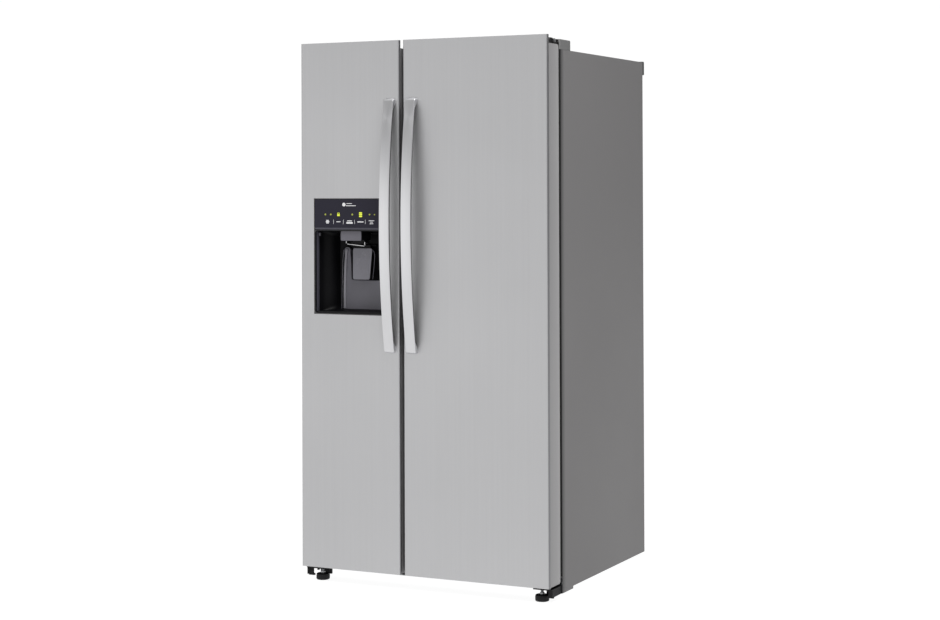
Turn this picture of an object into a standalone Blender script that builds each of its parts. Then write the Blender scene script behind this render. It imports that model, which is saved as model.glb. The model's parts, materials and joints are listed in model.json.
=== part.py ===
"""Side by side refrigerator, free standing, with an ice and water dispenser in its freezer door.

Metres, +Z up, front towards -Y, origin on the floor below the middle of the whole object's box.
"""

import math

import bmesh
import bpy
from mathutils import Matrix, Vector

# ---- Driving dimensions -------------------------------------------------------------
WIDTH = 0.894
DOOR_TOP = 1.779
DOOR_BOTTOM = 0.050
CABINET_TOP = 1.7375
CABINET_BOTTOM = 0.026
BODY_DEPTH = 0.847  # door face to the back of the rear rail
HANDLE_PROUD = 0.050  # how far a handle stands in front of the door face
FREEZER_DOOR_X = (-WIDTH / 2, -0.077)
FRIDGE_DOOR_X = (-0.0645, WIDTH / 2)
GAP = 0.0003  # between pieces that touch

# ---- Depths, measured back from the door face ----------------------------------------
SKIN_DEPTH = 0.010
DOOR_BACK = 0.0865
CABINET_FACE = 0.104
CABINET_BACK = 0.830
CAVITY_BACK = 0.760
HUMP_FRONT = 0.580
MACHINE_FRONT = 0.620
PIVOT_DEPTH = 0.055
SHELF_FRONT = 0.245

# ---- Heights and widths --------------------------------------------------------------
CASE_BOTTOM = 0.053
CASE_TOP = 1.752
CAVITY_Z = (0.115, 1.680)
HUMP_TOP = 0.335
FOAM_BOTTOM = 0.078
MACHINE_TOP = 0.290
FREEZER_CAVITY_X = (-0.387, -0.0955)
FRIDGE_CAVITY_X = (-0.0455, 0.397)
SHEET = 0.0015  # painted steel
LINER = 0.002
CASE_WALL = 0.002
TUB_WALL = 0.003
PIVOT_X = 0.427
FOOT_X = 0.398
FOOT_DEPTH = 0.055
PIN_RADIUS = 0.005
PIN_HOLE_RADIUS = 0.0065
ROLLER_X = 0.360
ROLLER_DEPTH = 0.760
ROLLER_RADIUS = 0.020

# ---- Dispenser -----------------------------------------------------------------------
DISPENSER_X = -0.262  # its middle, also the middle of the freezer door
DISPENSER_HALF = 0.135
DISPENSER_Z = (0.8855, 1.266)
PANEL_BOTTOM = 1.1625
RECESS_TOP = 1.1595
RECESS_BACK = 0.112
HOUSING_BACK = 0.115
HOUSING_WALL = 0.0045
LEVER_PIVOT = (0.098, 1.110)  # depth, height
LEVER_FACE = 0.0845
FLAP_PIVOT = (0.0645, 1.1325)
CHUTE_HALF = 0.035
CHUTE_DEPTHS = (0.020, 0.068)

# ---- Handles -------------------------------------------------------------------------
HANDLE_Z = (0.765, 1.592)
HANDLE_WIDTH = 0.036
HANDLE_THICKNESS = 0.018
FREEZER_HANDLE_X = -0.109
FRIDGE_HANDLE_X = -0.030

HALF = WIDTH / 2
DOOR_FACE = -(BODY_DEPTH - HANDLE_PROUD) / 2
INNER_HALF = HALF - SHEET - GAP

FINISHES = {  # colour, roughness, metallic
    "stainless": ((0.50, 0.50, 0.50), 0.38, 0.85),
    "door_grey": ((0.36, 0.36, 0.36), 0.50, 0.20),
    "cabinet_grey": ((0.20, 0.195, 0.19), 0.50, 0.20),
    "cover_grey": ((0.19, 0.19, 0.19), 0.55, 0.0),
    "dark_grey": ((0.09, 0.09, 0.09), 0.55, 0.0),
    "black_gloss": ((0.012, 0.012, 0.014), 0.15, 0.0),
    "black_plastic": ((0.02, 0.02, 0.022), 0.50, 0.0),
    "panel": ((0.035, 0.032, 0.040), 0.20, 0.0),
    "smoky": ((0.20, 0.20, 0.23), 0.25, 0.0),
    "foam": ((0.75, 0.62, 0.33), 0.90, 0.0),
    "white_liner": ((0.82, 0.83, 0.83), 0.35, 0.0),
    "gasket": ((0.10, 0.10, 0.10), 0.75, 0.0),
    "clear_bin": ((0.75, 0.82, 0.85), 0.12, 0.0),
    "glass": ((0.70, 0.80, 0.78), 0.05, 0.0),
    "black_steel": ((0.02, 0.02, 0.02), 0.45, 0.60),
    "galvanised": ((0.45, 0.46, 0.47), 0.45, 0.90),
    "copper": ((0.55, 0.26, 0.14), 0.35, 0.90),
    "white_plastic": ((0.75, 0.76, 0.77), 0.40, 0.0),
}


# ---- Shapes --------------------------------------------------------------------------
def deep(depth):
    """Y of a place that lies this far behind the door face."""
    return DOOR_FACE + depth


def point(x, depth, z):
    return Vector((x, deep(depth), z))


def link(mesh_maker):
    """A new object from a bmesh, its faces pointing out."""
    bmesh.ops.recalc_face_normals(mesh_maker, faces=mesh_maker.faces)
    mesh = bpy.data.meshes.new("shape")
    mesh_maker.to_mesh(mesh)
    mesh_maker.free()
    shape = bpy.data.objects.new("shape", mesh)
    bpy.context.scene.collection.objects.link(shape)
    return shape


def prism(outline, axis, low, high):
    """An outline extruded along axis: (depth, z) for X, (x, z) for Y and (x, depth) for Z.

    Along Y, low and high are depths too.
    """
    place = {
        "X": lambda a, b, c: point(c, a, b),
        "Y": lambda a, b, c: point(a, c, b),
        "Z": lambda a, b, c: point(a, b, c),
    }[axis]
    maker = bmesh.new()
    ends = [[maker.verts.new(place(a, b, c)) for a, b in outline] for c in (low, high)]
    for end in ends:
        maker.faces.new(end)
    for i in range(len(outline)):
        j = (i + 1) % len(outline)
        maker.faces.new((ends[0][i], ends[0][j], ends[1][j], ends[1][i]))
    return link(maker)


def block(x, depth, z):
    """A box between two values of each of x, depth and z."""
    return prism([(x[0], z[0]), (x[1], z[0]), (x[1], z[1]), (x[0], z[1])], "Y", *depth)


def turned(profile, centre, axis="Z", sides=24):
    """Rings of (radius, distance along axis) around centre, closed at both ends."""
    turn = {
        "X": Matrix.Rotation(math.pi / 2, 4, "Y"),
        "Y": Matrix.Rotation(-math.pi / 2, 4, "X"),
        "Z": Matrix.Identity(4),
    }[axis]
    maker = bmesh.new()
    rings = []
    for radius, along in profile:
        angles = [2 * math.pi * i / sides for i in range(sides)]
        spots = [Vector((radius * math.cos(a), radius * math.sin(a), along)) for a in angles]
        rings.append([maker.verts.new(turn @ spot + centre) for spot in spots])
    maker.faces.new(rings[0])
    maker.faces.new(rings[-1])
    for ring, following in zip(rings, rings[1:]):
        for i in range(sides):
            j = (i + 1) % sides
            maker.faces.new((ring[i], ring[j], following[j], following[i]))
    return link(maker)


def rod(centre, radius, axis, low, high, sides=16):
    return turned([(radius, low), (radius, high)], centre, axis, sides)


def combine(base, tools, operation):
    """Boolean the tools into base, apply the result and remove the tools."""
    for tool in tools:
        boolean = base.modifiers.new("boolean", "BOOLEAN")
        boolean.operation = operation
        boolean.object = tool
        boolean.solver = "EXACT"
    graph = bpy.context.evaluated_depsgraph_get()
    mesh = bpy.data.meshes.new_from_object(base.evaluated_get(graph))
    base.modifiers.clear()
    base.data = mesh
    for tool in tools:
        bpy.data.objects.remove(tool)
    return base


def join(base, *tools):
    return combine(base, tools, "UNION")


def cut(base, *tools):
    return combine(base, tools, "DIFFERENCE")


def arc(centre, radius, start, end, steps):
    """Points on an arc, in degrees."""
    turns = [math.radians(start + (end - start) * i / steps) for i in range(steps + 1)]
    return [(centre[0] + radius * math.cos(t), centre[1] + radius * math.sin(t)) for t in turns]


def grown(span, by):
    return span[0] - by, span[1] + by


def open_box(x, depth, z, wall):
    """A tub that is open at its top."""
    inside = block(grown(x, -wall), grown(depth, -wall), (z[0] + wall, z[1] + 1))
    return cut(block(x, depth, z), inside)


# ---- Naming, finish and joint origins --------------------------------------------------
def finish_material(finish):
    if finish in bpy.data.materials:
        return bpy.data.materials[finish]
    material = bpy.data.materials.new(finish)
    material.use_nodes = True
    colour, roughness, metallic = FINISHES[finish]
    shader = material.node_tree.nodes["Principled BSDF"]
    shader.inputs["Base Color"].default_value = (*colour, 1.0)
    shader.inputs["Roughness"].default_value = roughness
    shader.inputs["Metallic"].default_value = metallic
    material.diffuse_color = (*colour, 1.0)
    return material


def finished(name, shape, finish, parent=None, origin=None, smooth=False):
    """Names a shape, gives it its finish and puts its origin at its joint or its parent."""
    parent_place = parent.location.copy() if parent else Vector()
    spot = origin if origin is not None else parent_place
    shape.name = shape.data.name = name
    shape.data.transform(Matrix.Translation(-spot))
    shape.parent = parent
    shape.location = spot - parent_place
    shape.data.materials.clear()
    shape.data.materials.append(finish_material(finish))
    if smooth:
        shape.data.shade_smooth()
        shape.data.set_sharp_from_angle(angle=math.radians(35))
    return shape


def pivot(name, place):
    empty = bpy.data.objects.new(name, None)
    empty.location = place
    bpy.context.scene.collection.objects.link(empty)
    return empty


# ---- Cabinet ---------------------------------------------------------------------------
def cavity_outline(grow, front):
    """Side view of a compartment, stepping up over the machine space at the back."""
    low, high = CAVITY_Z[0] - grow, CAVITY_Z[1] + grow
    back, hump = CAVITY_BACK + grow, HUMP_FRONT + grow
    step = HUMP_TOP - grow
    return [(front, low), (hump, low), (hump, step), (back, step), (back, high), (front, high)]


def compartment_liner(name, x):
    outer = prism(cavity_outline(LINER, CABINET_FACE), "X", *grown(x, LINER))
    inner = prism(cavity_outline(0, CABINET_FACE - 0.01), "X", *x)
    finished(name, cut(outer, inner), "white_liner")


def cabinet_foam():
    front, back = CABINET_FACE + 0.002, CABINET_BACK - SHEET - GAP
    top = CABINET_TOP - SHEET - GAP
    outline = [
        (front, FOAM_BOTTOM),
        (MACHINE_FRONT, FOAM_BOTTOM),
        (MACHINE_FRONT, MACHINE_TOP),
        (back, MACHINE_TOP),
        (back, top),
        (front, top),
    ]
    body = prism(outline, "X", -INNER_HALF, INNER_HALF)
    hollows = [
        prism(cavity_outline(LINER + GAP, front - 0.01), "X", *grown(x, LINER + GAP))
        for x in (FREEZER_CAVITY_X, FRIDGE_CAVITY_X)
    ]
    finished("cabinet_foam", cut(body, *hollows), "foam")


def side_panel(name, side):
    low_front = 0.018
    step = 0.190
    outline = [
        (CABINET_FACE, low_front),
        (step, low_front),
        (step, CABINET_BOTTOM),
        (CABINET_BACK, CABINET_BOTTOM),
        (CABINET_BACK, CABINET_TOP),
        (CABINET_FACE, CABINET_TOP),
    ]
    x = sorted((side * (HALF - SHEET), side * HALF))
    finished(name, prism(outline, "X", *x), "cabinet_grey")


def slots(x, depth, z, count, slot_height):
    """Cutters for a row of level slots, spread evenly over z."""
    pitch = (z[1] - z[0]) / count
    middles = [z[0] + (i + 0.5) * pitch for i in range(count)]
    return [block(x, depth, (m - slot_height / 2, m + slot_height / 2)) for m in middles]


def cabinet_plates():
    across = (-INNER_HALF, INNER_HALF)
    through = (CABINET_FACE - 0.02, CABINET_BACK + 0.02)
    under_top = CABINET_TOP - SHEET - GAP
    back_sheet = (CABINET_BACK - SHEET, CABINET_BACK)
    cover_top = 0.355
    top = block(across, (CABINET_FACE, CABINET_BACK), (CABINET_TOP - SHEET, CABINET_TOP))
    finished("top_panel", top, "cabinet_grey")
    back = block(across, back_sheet, (cover_top + 0.003, under_top))
    finished("back_panel", back, "galvanised")

    cover = block(across, back_sheet, (CABINET_BOTTOM + 0.004, cover_top))
    vents = []
    for x in ((-0.36, -0.14), (-0.09, 0.13)):
        vents += slots(x, through, (0.10, 0.30), 6, 0.012)
    cover = cut(cover, *vents)
    for x, z, radius, hole in ((0.300, 0.260, 0.013, 0.0045), (-0.400, 0.260, 0.009, 0.0035)):
        spot = point(x, CABINET_BACK, z)  # the power lead's gland, then the water inlet
        cover = cut(join(cover, rod(spot, radius, "Y", -0.001, 0.012)), rod(spot, hole, "Y", -0.01, 0.02))
    finished("machine_cover", cover, "galvanised")

    frame_plate = block(across, (CABINET_FACE, CABINET_FACE + 0.0017), (0.0722, under_top))
    mouths = [
        block(grown(x, LINER + GAP), through, grown(CAVITY_Z, LINER + GAP))
        for x in (FREEZER_CAVITY_X, FRIDGE_CAVITY_X)
    ]
    finished("front_frame", cut(frame_plate, *mouths), "cabinet_grey")

    rail = block((-HALF, HALF), (CABINET_BACK + GAP, BODY_DEPTH), (1.693, 1.740))
    rail_edge = rail.modifiers.new("edge", "BEVEL")
    rail_edge.width = 0.002
    rail_edge.segments = 2
    finished("rear_top_rail", rail, "dark_grey")

    grille = block((-0.365, 0.365), (0.0965, CABINET_FACE), (0.030, 0.0685))
    grille_slots = []
    for i in range(5):
        left = -0.345 + i * 0.142
        grille_slots += slots((left, left + 0.122), through, (0.034, 0.066), 3, 0.005)
    finished("toe_grille", cut(grille, *grille_slots), "black_plastic")


def base_pan():
    """Folded floor pan with an upstand at the front and two lugs for each rear roller."""
    front, back = CABINET_FACE + 0.0005, CABINET_BACK - SHEET - GAP
    low, high = CABINET_BOTTOM, CABINET_BOTTOM + 0.002
    outline = [(front, low), (back, low), (back, high), (front + 0.002, high)]
    outline += [(front + 0.002, 0.0718), (front, 0.0718)]
    pan = prism(outline, "X", -INNER_HALF, INNER_HALF)
    lugs, holes = [], []
    for side in (-1, 1):
        middle = side * ROLLER_X
        well = (middle - 0.0145, middle + 0.0145)
        holes.append(block(well, grown((ROLLER_DEPTH, ROLLER_DEPTH), 0.026), (0.01, 0.05)))
        for lug_side in (-1, 1):
            lug = sorted((middle + lug_side * 0.0150, middle + lug_side * 0.0180))
            lugs.append(block(lug, grown((ROLLER_DEPTH, ROLLER_DEPTH), 0.012), (0.010, 0.027)))
        bore = rod(point(middle, ROLLER_DEPTH, ROLLER_RADIUS), 0.0040, "X", -0.03, 0.03)
        holes.append(bore)
    finished("base_pan", cut(join(pan, *lugs), *holes), "galvanised")


def rollers_and_feet():
    for word, side in (("left", -1), ("right", 1)):
        centre = point(side * ROLLER_X, ROLLER_DEPTH, ROLLER_RADIUS)
        wheel = rod(centre, ROLLER_RADIUS, "X", -0.012, 0.012, 32)
        wheel = join(wheel, rod(centre, 0.0030, "X", -0.020, 0.020))
        finished(f"rear_roller_{word}", wheel, "black_plastic", origin=centre, smooth=True)

        base = point(side * FOOT_X, FOOT_DEPTH, 0)
        pad = [(0.0195, 0), (0.0225, 0.003), (0.0225, 0.018), (0.0205, 0.0205)]
        foot = turned(pad + [(PIN_RADIUS, 0.0206), (PIN_RADIUS, 0.048)], base)
        finished(f"foot_{word}", foot, "black_plastic", origin=base, smooth=True)


def hinges(word, side):
    def across(inner, outer):
        return sorted((side * inner, side * outer))

    place = point(side * PIVOT_X, PIVOT_DEPTH, 0)
    base_z, arm_z, strap = CABINET_TOP + GAP, 1.7555, 0.003
    bend = 0.107
    profile = [
        (0.182, base_z),
        (0.182, base_z + strap),
        (bend + strap, base_z + strap),
        (bend + strap, arm_z + strap),
        (0.040, arm_z + strap),
        (0.040, arm_z),
        (bend, arm_z),
        (bend, base_z),
    ]
    strap_plate = prism(profile, "X", *across(0.405, 0.442))
    pin = rod(place, PIN_RADIUS, "Z", 1.736, arm_z + 0.001)
    finished(f"top_hinge_{word}", join(strap_plate, pin), "black_steel")

    cover_z = (base_z, 1.770)
    cover = block(across(0.350, HALF), (0.098, 0.188), cover_z)
    room = block(across(0.352, HALF - 0.002), (0.100, 0.186), (1.70, cover_z[1] - 0.002))
    notch = block(across(0.4045, 0.4425), (0.09, 0.11), (1.70, 1.7592))
    finished(f"hinge_cover_{word}", cut(cover, room, notch), "cover_grey")

    low, plate = 0.0395, 0.004
    face = CABINET_FACE
    profile = [(0.028, low), (face, low), (face, 0.066), (face - 0.003, 0.066)]
    profile += [(face - 0.003, low + plate), (0.028, low + plate)]
    bracket = prism(profile, "X", *across(0.378, 0.444))
    stiffener = block(across(0.381 if side < 0 else 0.401, 0.4225), (0.081, 0.088), (0.014, low + 0.001))
    lip = block(across(0.4265, 0.4435), (0.038, 0.045), (0.014, low + 0.002))
    hook = block(across(0.4215, 0.4270), (0.038, 0.045), (0.014, 0.020))
    flange = block(across(0.4405, 0.4440), (0.030, face), (0.018, low + 0.001))
    pin = rod(place, PIN_RADIUS, "Z", low + 0.001, 0.066)
    bracket = join(bracket, stiffener, join(lip, hook), flange, pin)
    stud_hole = rod(point(side * FOOT_X, FOOT_DEPTH, 0), PIN_HOLE_RADIUS, "Z", 0.01, 0.06)
    finished(f"lower_hinge_{word}", cut(bracket, stud_hole), "black_steel")


# ---- Machine space ---------------------------------------------------------------------
def fan(name, centre, axis, radius, finish):
    """A hub with five blades set at an angle to the shaft."""
    turn = Matrix.Rotation(math.pi / 2, 4, "Y" if axis == "X" else "X")
    hub_radius, hub_half, blades = radius * 0.3, 0.012, 5
    shape = rod(centre, hub_radius, axis, -hub_half, hub_half)
    wings = []
    for i in range(blades):
        wing = block((hub_radius * 0.7, radius), (-0.001, 0.001), (-0.018, 0.018))
        wing.data.transform(Matrix.Translation((0, -DOOR_FACE, 0)))
        wing.data.transform(Matrix.Rotation(math.radians(58), 4, "X"))
        wing.data.transform(Matrix.Rotation(2 * math.pi * i / blades, 4, "Z"))
        wing.data.transform(Matrix.Translation(centre) @ turn)
        wings.append(wing)
    finished(name, join(shape, *wings), finish, origin=centre)


def machine_space():
    floor = CABINET_BOTTOM + 0.002 + GAP
    middle = point(0.235, 0.725, 0)
    dome = [(0.060, 0.036), (0.080, 0.048), (0.085, 0.075), (0.085, 0.150)]
    dome += [(0.080, 0.180), (0.060, 0.203), (0.030, 0.213)]
    feet = block((0.125, 0.345), (0.655, 0.795), (floor, 0.0385))
    shell = join(turned(dome, middle, sides=24), feet)
    finished("compressor", shell, "black_steel", smooth=True)

    pitch, fins = 0.020, 9
    left, low, high = -0.345, floor, 0.200
    comb = [(left, low), (left + pitch * fins, low)]
    for i in reversed(range(fins)):
        start = left + pitch * i
        comb += [(start + 0.012, low + 0.012), (start + 0.012, high), (start, high)]
        if i:
            comb.append((start, low + 0.012))
    comb.insert(2, (left + pitch * fins, low + 0.012))
    finished("condenser", prism(comb, "Y", 0.650, 0.800), "black_steel")
    fan("condenser_fan", point(-0.060, 0.725, 0.125), "X", 0.070, "black_plastic")


# ---- Inside the compartments -------------------------------------------------------------
def shelf(name, x, z, back):
    """A plate with a deeper front edge."""
    front, lip, plate = SHELF_FRONT, 0.014, 0.005
    outline = [(front, z - lip), (front + 0.012, z - lip), (front + 0.012, z - plate)]
    outline += [(back, z - plate), (back, z), (front, z)]
    finished(name, prism(outline, "X", *grown(x, -0.0015)), "glass")


def pull_out(name, x, z, back, finish):
    """A drawer tub whose front stands up and ends in a lip to pull."""
    front = SHELF_FRONT
    tub = open_box(x, (front, back), z, TUB_WALL)
    lip = block(x, (front - 0.012, front + 0.001), (z[1] - 0.012, z[1]))
    finished(name, join(tub, lip), finish, origin=point(sum(x) / 2, front, z[0]))


def auger(centre, length):
    """A shaft with a screw flight around it."""
    turns, steps, thick = 4, 14, 0.003
    inner, outer = 0.004, 0.024
    maker = bmesh.new()
    rings = []
    for i in range(turns * steps + 1):
        angle = 2 * math.pi * i / steps
        along = 0.02 + (length - 0.04) * i / (turns * steps)
        out = Vector((math.cos(angle), 0, math.sin(angle)))
        corners = [(inner, 0), (outer, 0), (outer, thick), (inner, thick)]
        rings.append([maker.verts.new(centre + out * r + Vector((0, along + t, 0))) for r, t in corners])
    maker.faces.new(rings[0])
    maker.faces.new(rings[-1])
    for ring, following in zip(rings, rings[1:]):
        for i in range(4):
            j = (i + 1) % 4
            maker.faces.new((ring[i], ring[j], following[j], following[i]))
    shaft = rod(centre, 0.006, "Y", 0, length, 12)
    finished("ice_auger", join(shaft, link(maker)), "galvanised", origin=centre)


def freezer_inside():
    x = FREEZER_CAVITY_X
    shelf("freezer_shelf", x, 0.800, 0.690)
    inner = grown(x, -0.012)
    pull_out("freezer_drawer_lower", inner, (0.124, 0.320), 0.565, "clear_bin")
    pull_out("freezer_drawer_upper", inner, (0.352, 0.510), 0.690, "clear_bin")

    bin_x, bin_y, bin_z = (-0.372, -0.112), (0.155, 0.600), (1.352, 1.500)
    bin_shape = open_box(bin_x, bin_y, bin_z, TUB_WALL)
    outlet = block(grown((DISPENSER_X, DISPENSER_X), 0.032), (0.160, 0.215), (1.30, 1.36))
    shaft = point(DISPENSER_X, 0.162, 1.384)
    shaft_hole = rod(shaft, 0.0070, "Y", 0.42, 0.46, 12)
    finished("ice_bin", cut(bin_shape, outlet, shaft_hole), "white_plastic")
    auger(shaft, 0.450)

    maker_tray = open_box((-0.330, -0.150), (0.290, 0.580), (1.545, 1.600), 0.004)
    fingers = [
        block((-0.328, -0.152), (d, d + 0.004), (1.547, 1.590))
        for d in (0.330, 0.370, 0.410, 0.450, 0.490, 0.530)
    ]
    motor_box = block((-0.330, -0.150), (0.576, 0.660), (1.530, 1.655))
    finished("ice_maker", join(maker_tray, motor_box, *fingers), "white_plastic")

    cover = block(grown(x, -0.0015), (0.700, 0.703), (HUMP_TOP + 0.003, CAVITY_Z[1] - 0.002))
    fan_place = point(-0.241, 0.722, 1.180)
    holes = [rod(fan_place, 0.062, "Y", -0.05, 0.01, 32)]
    holes += slots((-0.340, -0.142), (0.69, 0.71), (0.36, 0.48), 5, 0.009)
    finished("evaporator_cover", cut(cover, *holes), "white_plastic")
    fan("evaporator_fan", fan_place, "Y", 0.056, "white_plastic")


def fridge_inside():
    x = FRIDGE_CAVITY_X
    shelf("fridge_shelf_upper", x, 1.180, 0.730)
    shelf("fridge_shelf_lower", x, 0.850, 0.730)
    shelf("crisper_cover", x, 0.520, 0.730)
    inner = (x[0] + 0.012, x[1] - 0.026)  # the open door's seal passes on the right
    pull_out("crisper_lower", inner, (0.124, 0.305), 0.565, "clear_bin")
    pull_out("crisper_upper", inner, (0.345, 0.500), 0.720, "clear_bin")


# ---- Doors -------------------------------------------------------------------------------
def door_skin(x):
    """The stainless front: a shallow pan with rounded upright edges, open behind."""
    radius, sheet = 0.007, 0.001
    outline = [(x[0], SKIN_DEPTH)]
    outline += arc((x[0] + radius, radius), radius, 180, 270, 4)
    outline += arc((x[1] - radius, radius), radius, 270, 360, 4)
    outline.append((x[1], SKIN_DEPTH))
    pan = prism(outline, "Z", DOOR_BOTTOM, DOOR_TOP)
    pocket_x = grown(x, -(sheet + 0.003))
    pocket = block(pocket_x, (sheet, 0.02), grown((DOOR_BOTTOM, DOOR_TOP), -sheet))
    return cut(pan, pocket)


def door_case(x, pin_place):
    """The painted sides, top and bottom of a door, with rounded corners at the back."""
    front, radius, back = SKIN_DEPTH + GAP, 0.010, DOOR_BACK

    def side_view(wall, first, behind):
        low, high, rear = CASE_BOTTOM + wall, CASE_TOP - wall, back - wall
        corner = radius - wall
        outline = [(first, high), (first, low), (rear - corner, low)]
        outline += arc((rear - corner, low + corner), corner, 270, 360, 3)[1:]
        if behind:
            outline += [(rear, low + corner + 0.002), (behind, low + corner + 0.002)]
            outline += [(behind, high - corner - 0.002), (rear, high - corner - 0.002)]
        outline += arc((rear - corner, high - corner), corner, 0, 90, 3)
        return outline

    shell = prism(side_view(0, front, 0), "X", *x)
    room = prism(side_view(CASE_WALL, front - 0.01, back + 0.01), "X", *grown(x, -CASE_WALL))
    pin_hole = rod(pin_place, PIN_HOLE_RADIUS, "Z", 0, 2)
    return cut(shell, room, pin_hole)


def door_liner(x, ring_x):
    """The white inner sheet, with a raised ring that carries the bins."""
    sheet_depth = (DOOR_BACK - 0.0027, DOOR_BACK)
    sheet = block(grown(x, -(CASE_WALL + GAP)), sheet_depth, (0.0655, 1.7395))
    ring_z, ring_wall, ring_back = (0.135, 1.660), 0.012, 0.118
    ring = block(ring_x, (DOOR_BACK - 0.001, ring_back), ring_z)
    inside = block(grown(ring_x, -ring_wall), (DOOR_BACK - 0.002, 0.2), grown(ring_z, -ring_wall))
    return join(sheet, cut(ring, inside))


def gasket(x):
    inset, width = 0.016, 0.016
    depth = (DOOR_BACK + GAP, CABINET_FACE - 0.0008)
    span_x, span_z = grown(x, -inset), (0.080, 1.722)
    strip = block(span_x, depth, span_z)
    return cut(strip, block(grown(span_x, -width), (0, 0.2), grown(span_z, -width)))


def handle(x):
    """A flat bowed bar that curls back to the door at both ends."""
    low, high = HANDLE_Z
    middle, half = (low + high) / 2, (high - low) / 2
    end_depth, face, steps, foot = 0.014, -HANDLE_PROUD, 14, 0.034

    def bow(z):
        return face + (HANDLE_PROUD - end_depth) * ((z - middle) / half) ** 2

    def level(i, reach):
        return middle + reach * (2 * i / steps - 1)

    outer = [(bow(level(i, half - 0.006)), level(i, half - 0.006)) for i in range(steps + 1)]
    outer += [(-GAP, high)]
    inner = [(-GAP, high - foot)]
    reach = half - foot - 0.012
    for i in reversed(range(steps + 1)):
        z = level(i, reach)
        inner.append((bow(z) + HANDLE_THICKNESS, z))
    inner += [(-GAP, low + foot), (-GAP, low)]
    return prism(outer + inner, "X", x - HANDLE_WIDTH / 2, x + HANDLE_WIDTH / 2)


def door_bin(x, z):
    return open_box(x, (DOOR_BACK + 0.0008, 0.205), z, TUB_WALL)


def door_foam(x):
    return block(grown(x, -(CASE_WALL + 0.0025)), (0.0013, DOOR_BACK - 0.003), (0.070, 1.732))


def tapered_plan(x, front, back, wall):
    """Plan of the dispenser's tub, which narrows halfway in to clear the cabinet."""
    narrowing, taper_start, taper_end = 0.031, 0.045, 0.082
    wide, narrow = grown(x, -wall), grown(x, -wall - narrowing)
    side = [(narrow[1], back), (narrow[1], taper_end), (wide[1], taper_start), (wide[1], front)]
    return side + [(wide[0], front), (wide[0], taper_start), (narrow[0], taper_end), (narrow[0], back)]


def dispenser(hinge):
    """Housing, control panel, ice chute with its flap, and the lever that a glass pushes."""
    x = grown((DISPENSER_X, DISPENSER_X), DISPENSER_HALF)
    low, high = DISPENSER_Z
    wall = HOUSING_WALL
    housing = prism(tapered_plan(x, 0, HOUSING_BACK, 0), "Z", low, high)
    recess = prism(tapered_plan(x, -0.01, RECESS_BACK, wall), "Z", low + wall, RECESS_TOP)
    panel_room = block(grown(x, -0.0025), (-0.01, 0.012), (PANEL_BOTTOM, high - 0.0025))
    chute_half = CHUTE_HALF + 0.0005
    chute_room = block(
        grown((DISPENSER_X, DISPENSER_X), chute_half), grown(CHUTE_DEPTHS, 0.0005), (1.15, 1.30)
    )
    shape = cut(housing, recess, panel_room, chute_room)
    pivot_place = point(DISPENSER_X, *LEVER_PIVOT)
    lugs = []
    for side in (-1, 1):
        lug_x = sorted((DISPENSER_X + side * 0.041, DISPENSER_X + side * 0.044))
        lugs.append(block(lug_x, (0.088, RECESS_BACK + 0.001), (1.098, 1.122)))
    pad = block((-0.340, -0.184), (0.100, RECESS_BACK + 0.001), (0.896, 0.990))
    bore = rod(pivot_place, 0.0040, "X", -0.05, 0.05)
    shape = cut(join(shape, pad, *lugs), bore)
    finished("dispenser_housing", shape, "black_gloss", hinge)

    panel = block(grown(x, -0.0028), (0, 0.0117), (PANEL_BOTTOM + GAP, high - 0.0028))
    finished("control_panel", panel, "panel", hinge)

    front, back = CHUTE_DEPTHS
    duct_top, mouth, sill, skin = 1.345, 0.138, 1.300, 0.002
    elbow = [(front, 1.127), (back, 1.127), (back, 1.275), (mouth, sill), (mouth, duct_top), (front, duct_top)]
    duct = prism(elbow, "X", DISPENSER_X - CHUTE_HALF, DISPENSER_X + CHUTE_HALF)
    nozzle = block(grown((DISPENSER_X, DISPENSER_X), 0.039), (0.010, 0.078), (1.127, RECESS_TOP - GAP))
    bore = [
        (front + skin, 1.10),
        (back - skin, 1.10),
        (back - skin, 1.275 + skin),
        (mouth + 0.02, sill + skin + 0.0073),
        (mouth + 0.02, duct_top - skin),
        (front + skin, duct_top - skin),
    ]
    passage = prism(bore, "X", DISPENSER_X - CHUTE_HALF + skin, DISPENSER_X + CHUTE_HALF - skin)
    finished("ice_chute", cut(join(duct, nozzle), passage), "smoky", hinge)

    place = point(DISPENSER_X, *FLAP_PIVOT)
    flap = block(grown((DISPENSER_X, DISPENSER_X), 0.0315), (0.0235, 0.0640), (1.1315, 1.1330))
    flap = join(flap, rod(place, 0.0013, "X", -0.0315, 0.0315, 10))
    finished("chute_flap", flap, "black_plastic", hinge, origin=place)

    lever_z = (0.997, 1.100)
    outline = [(-0.031, lever_z[0]), (0.031, lever_z[0]), (0.034, lever_z[1]), (-0.034, lever_z[1])]
    paddle = prism([(DISPENSER_X + a, b) for a, b in outline], "Y", LEVER_FACE, LEVER_FACE + 0.003)
    arm = block(grown((DISPENSER_X, DISPENSER_X), 0.030), (LEVER_FACE, 0.0995), (1.095, 1.112))
    axle = rod(pivot_place, 0.0030, "X", -0.0455, 0.0455)
    finished("dispenser_lever", join(paddle, arm, axle), "smoky", hinge, origin=pivot_place)


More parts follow.
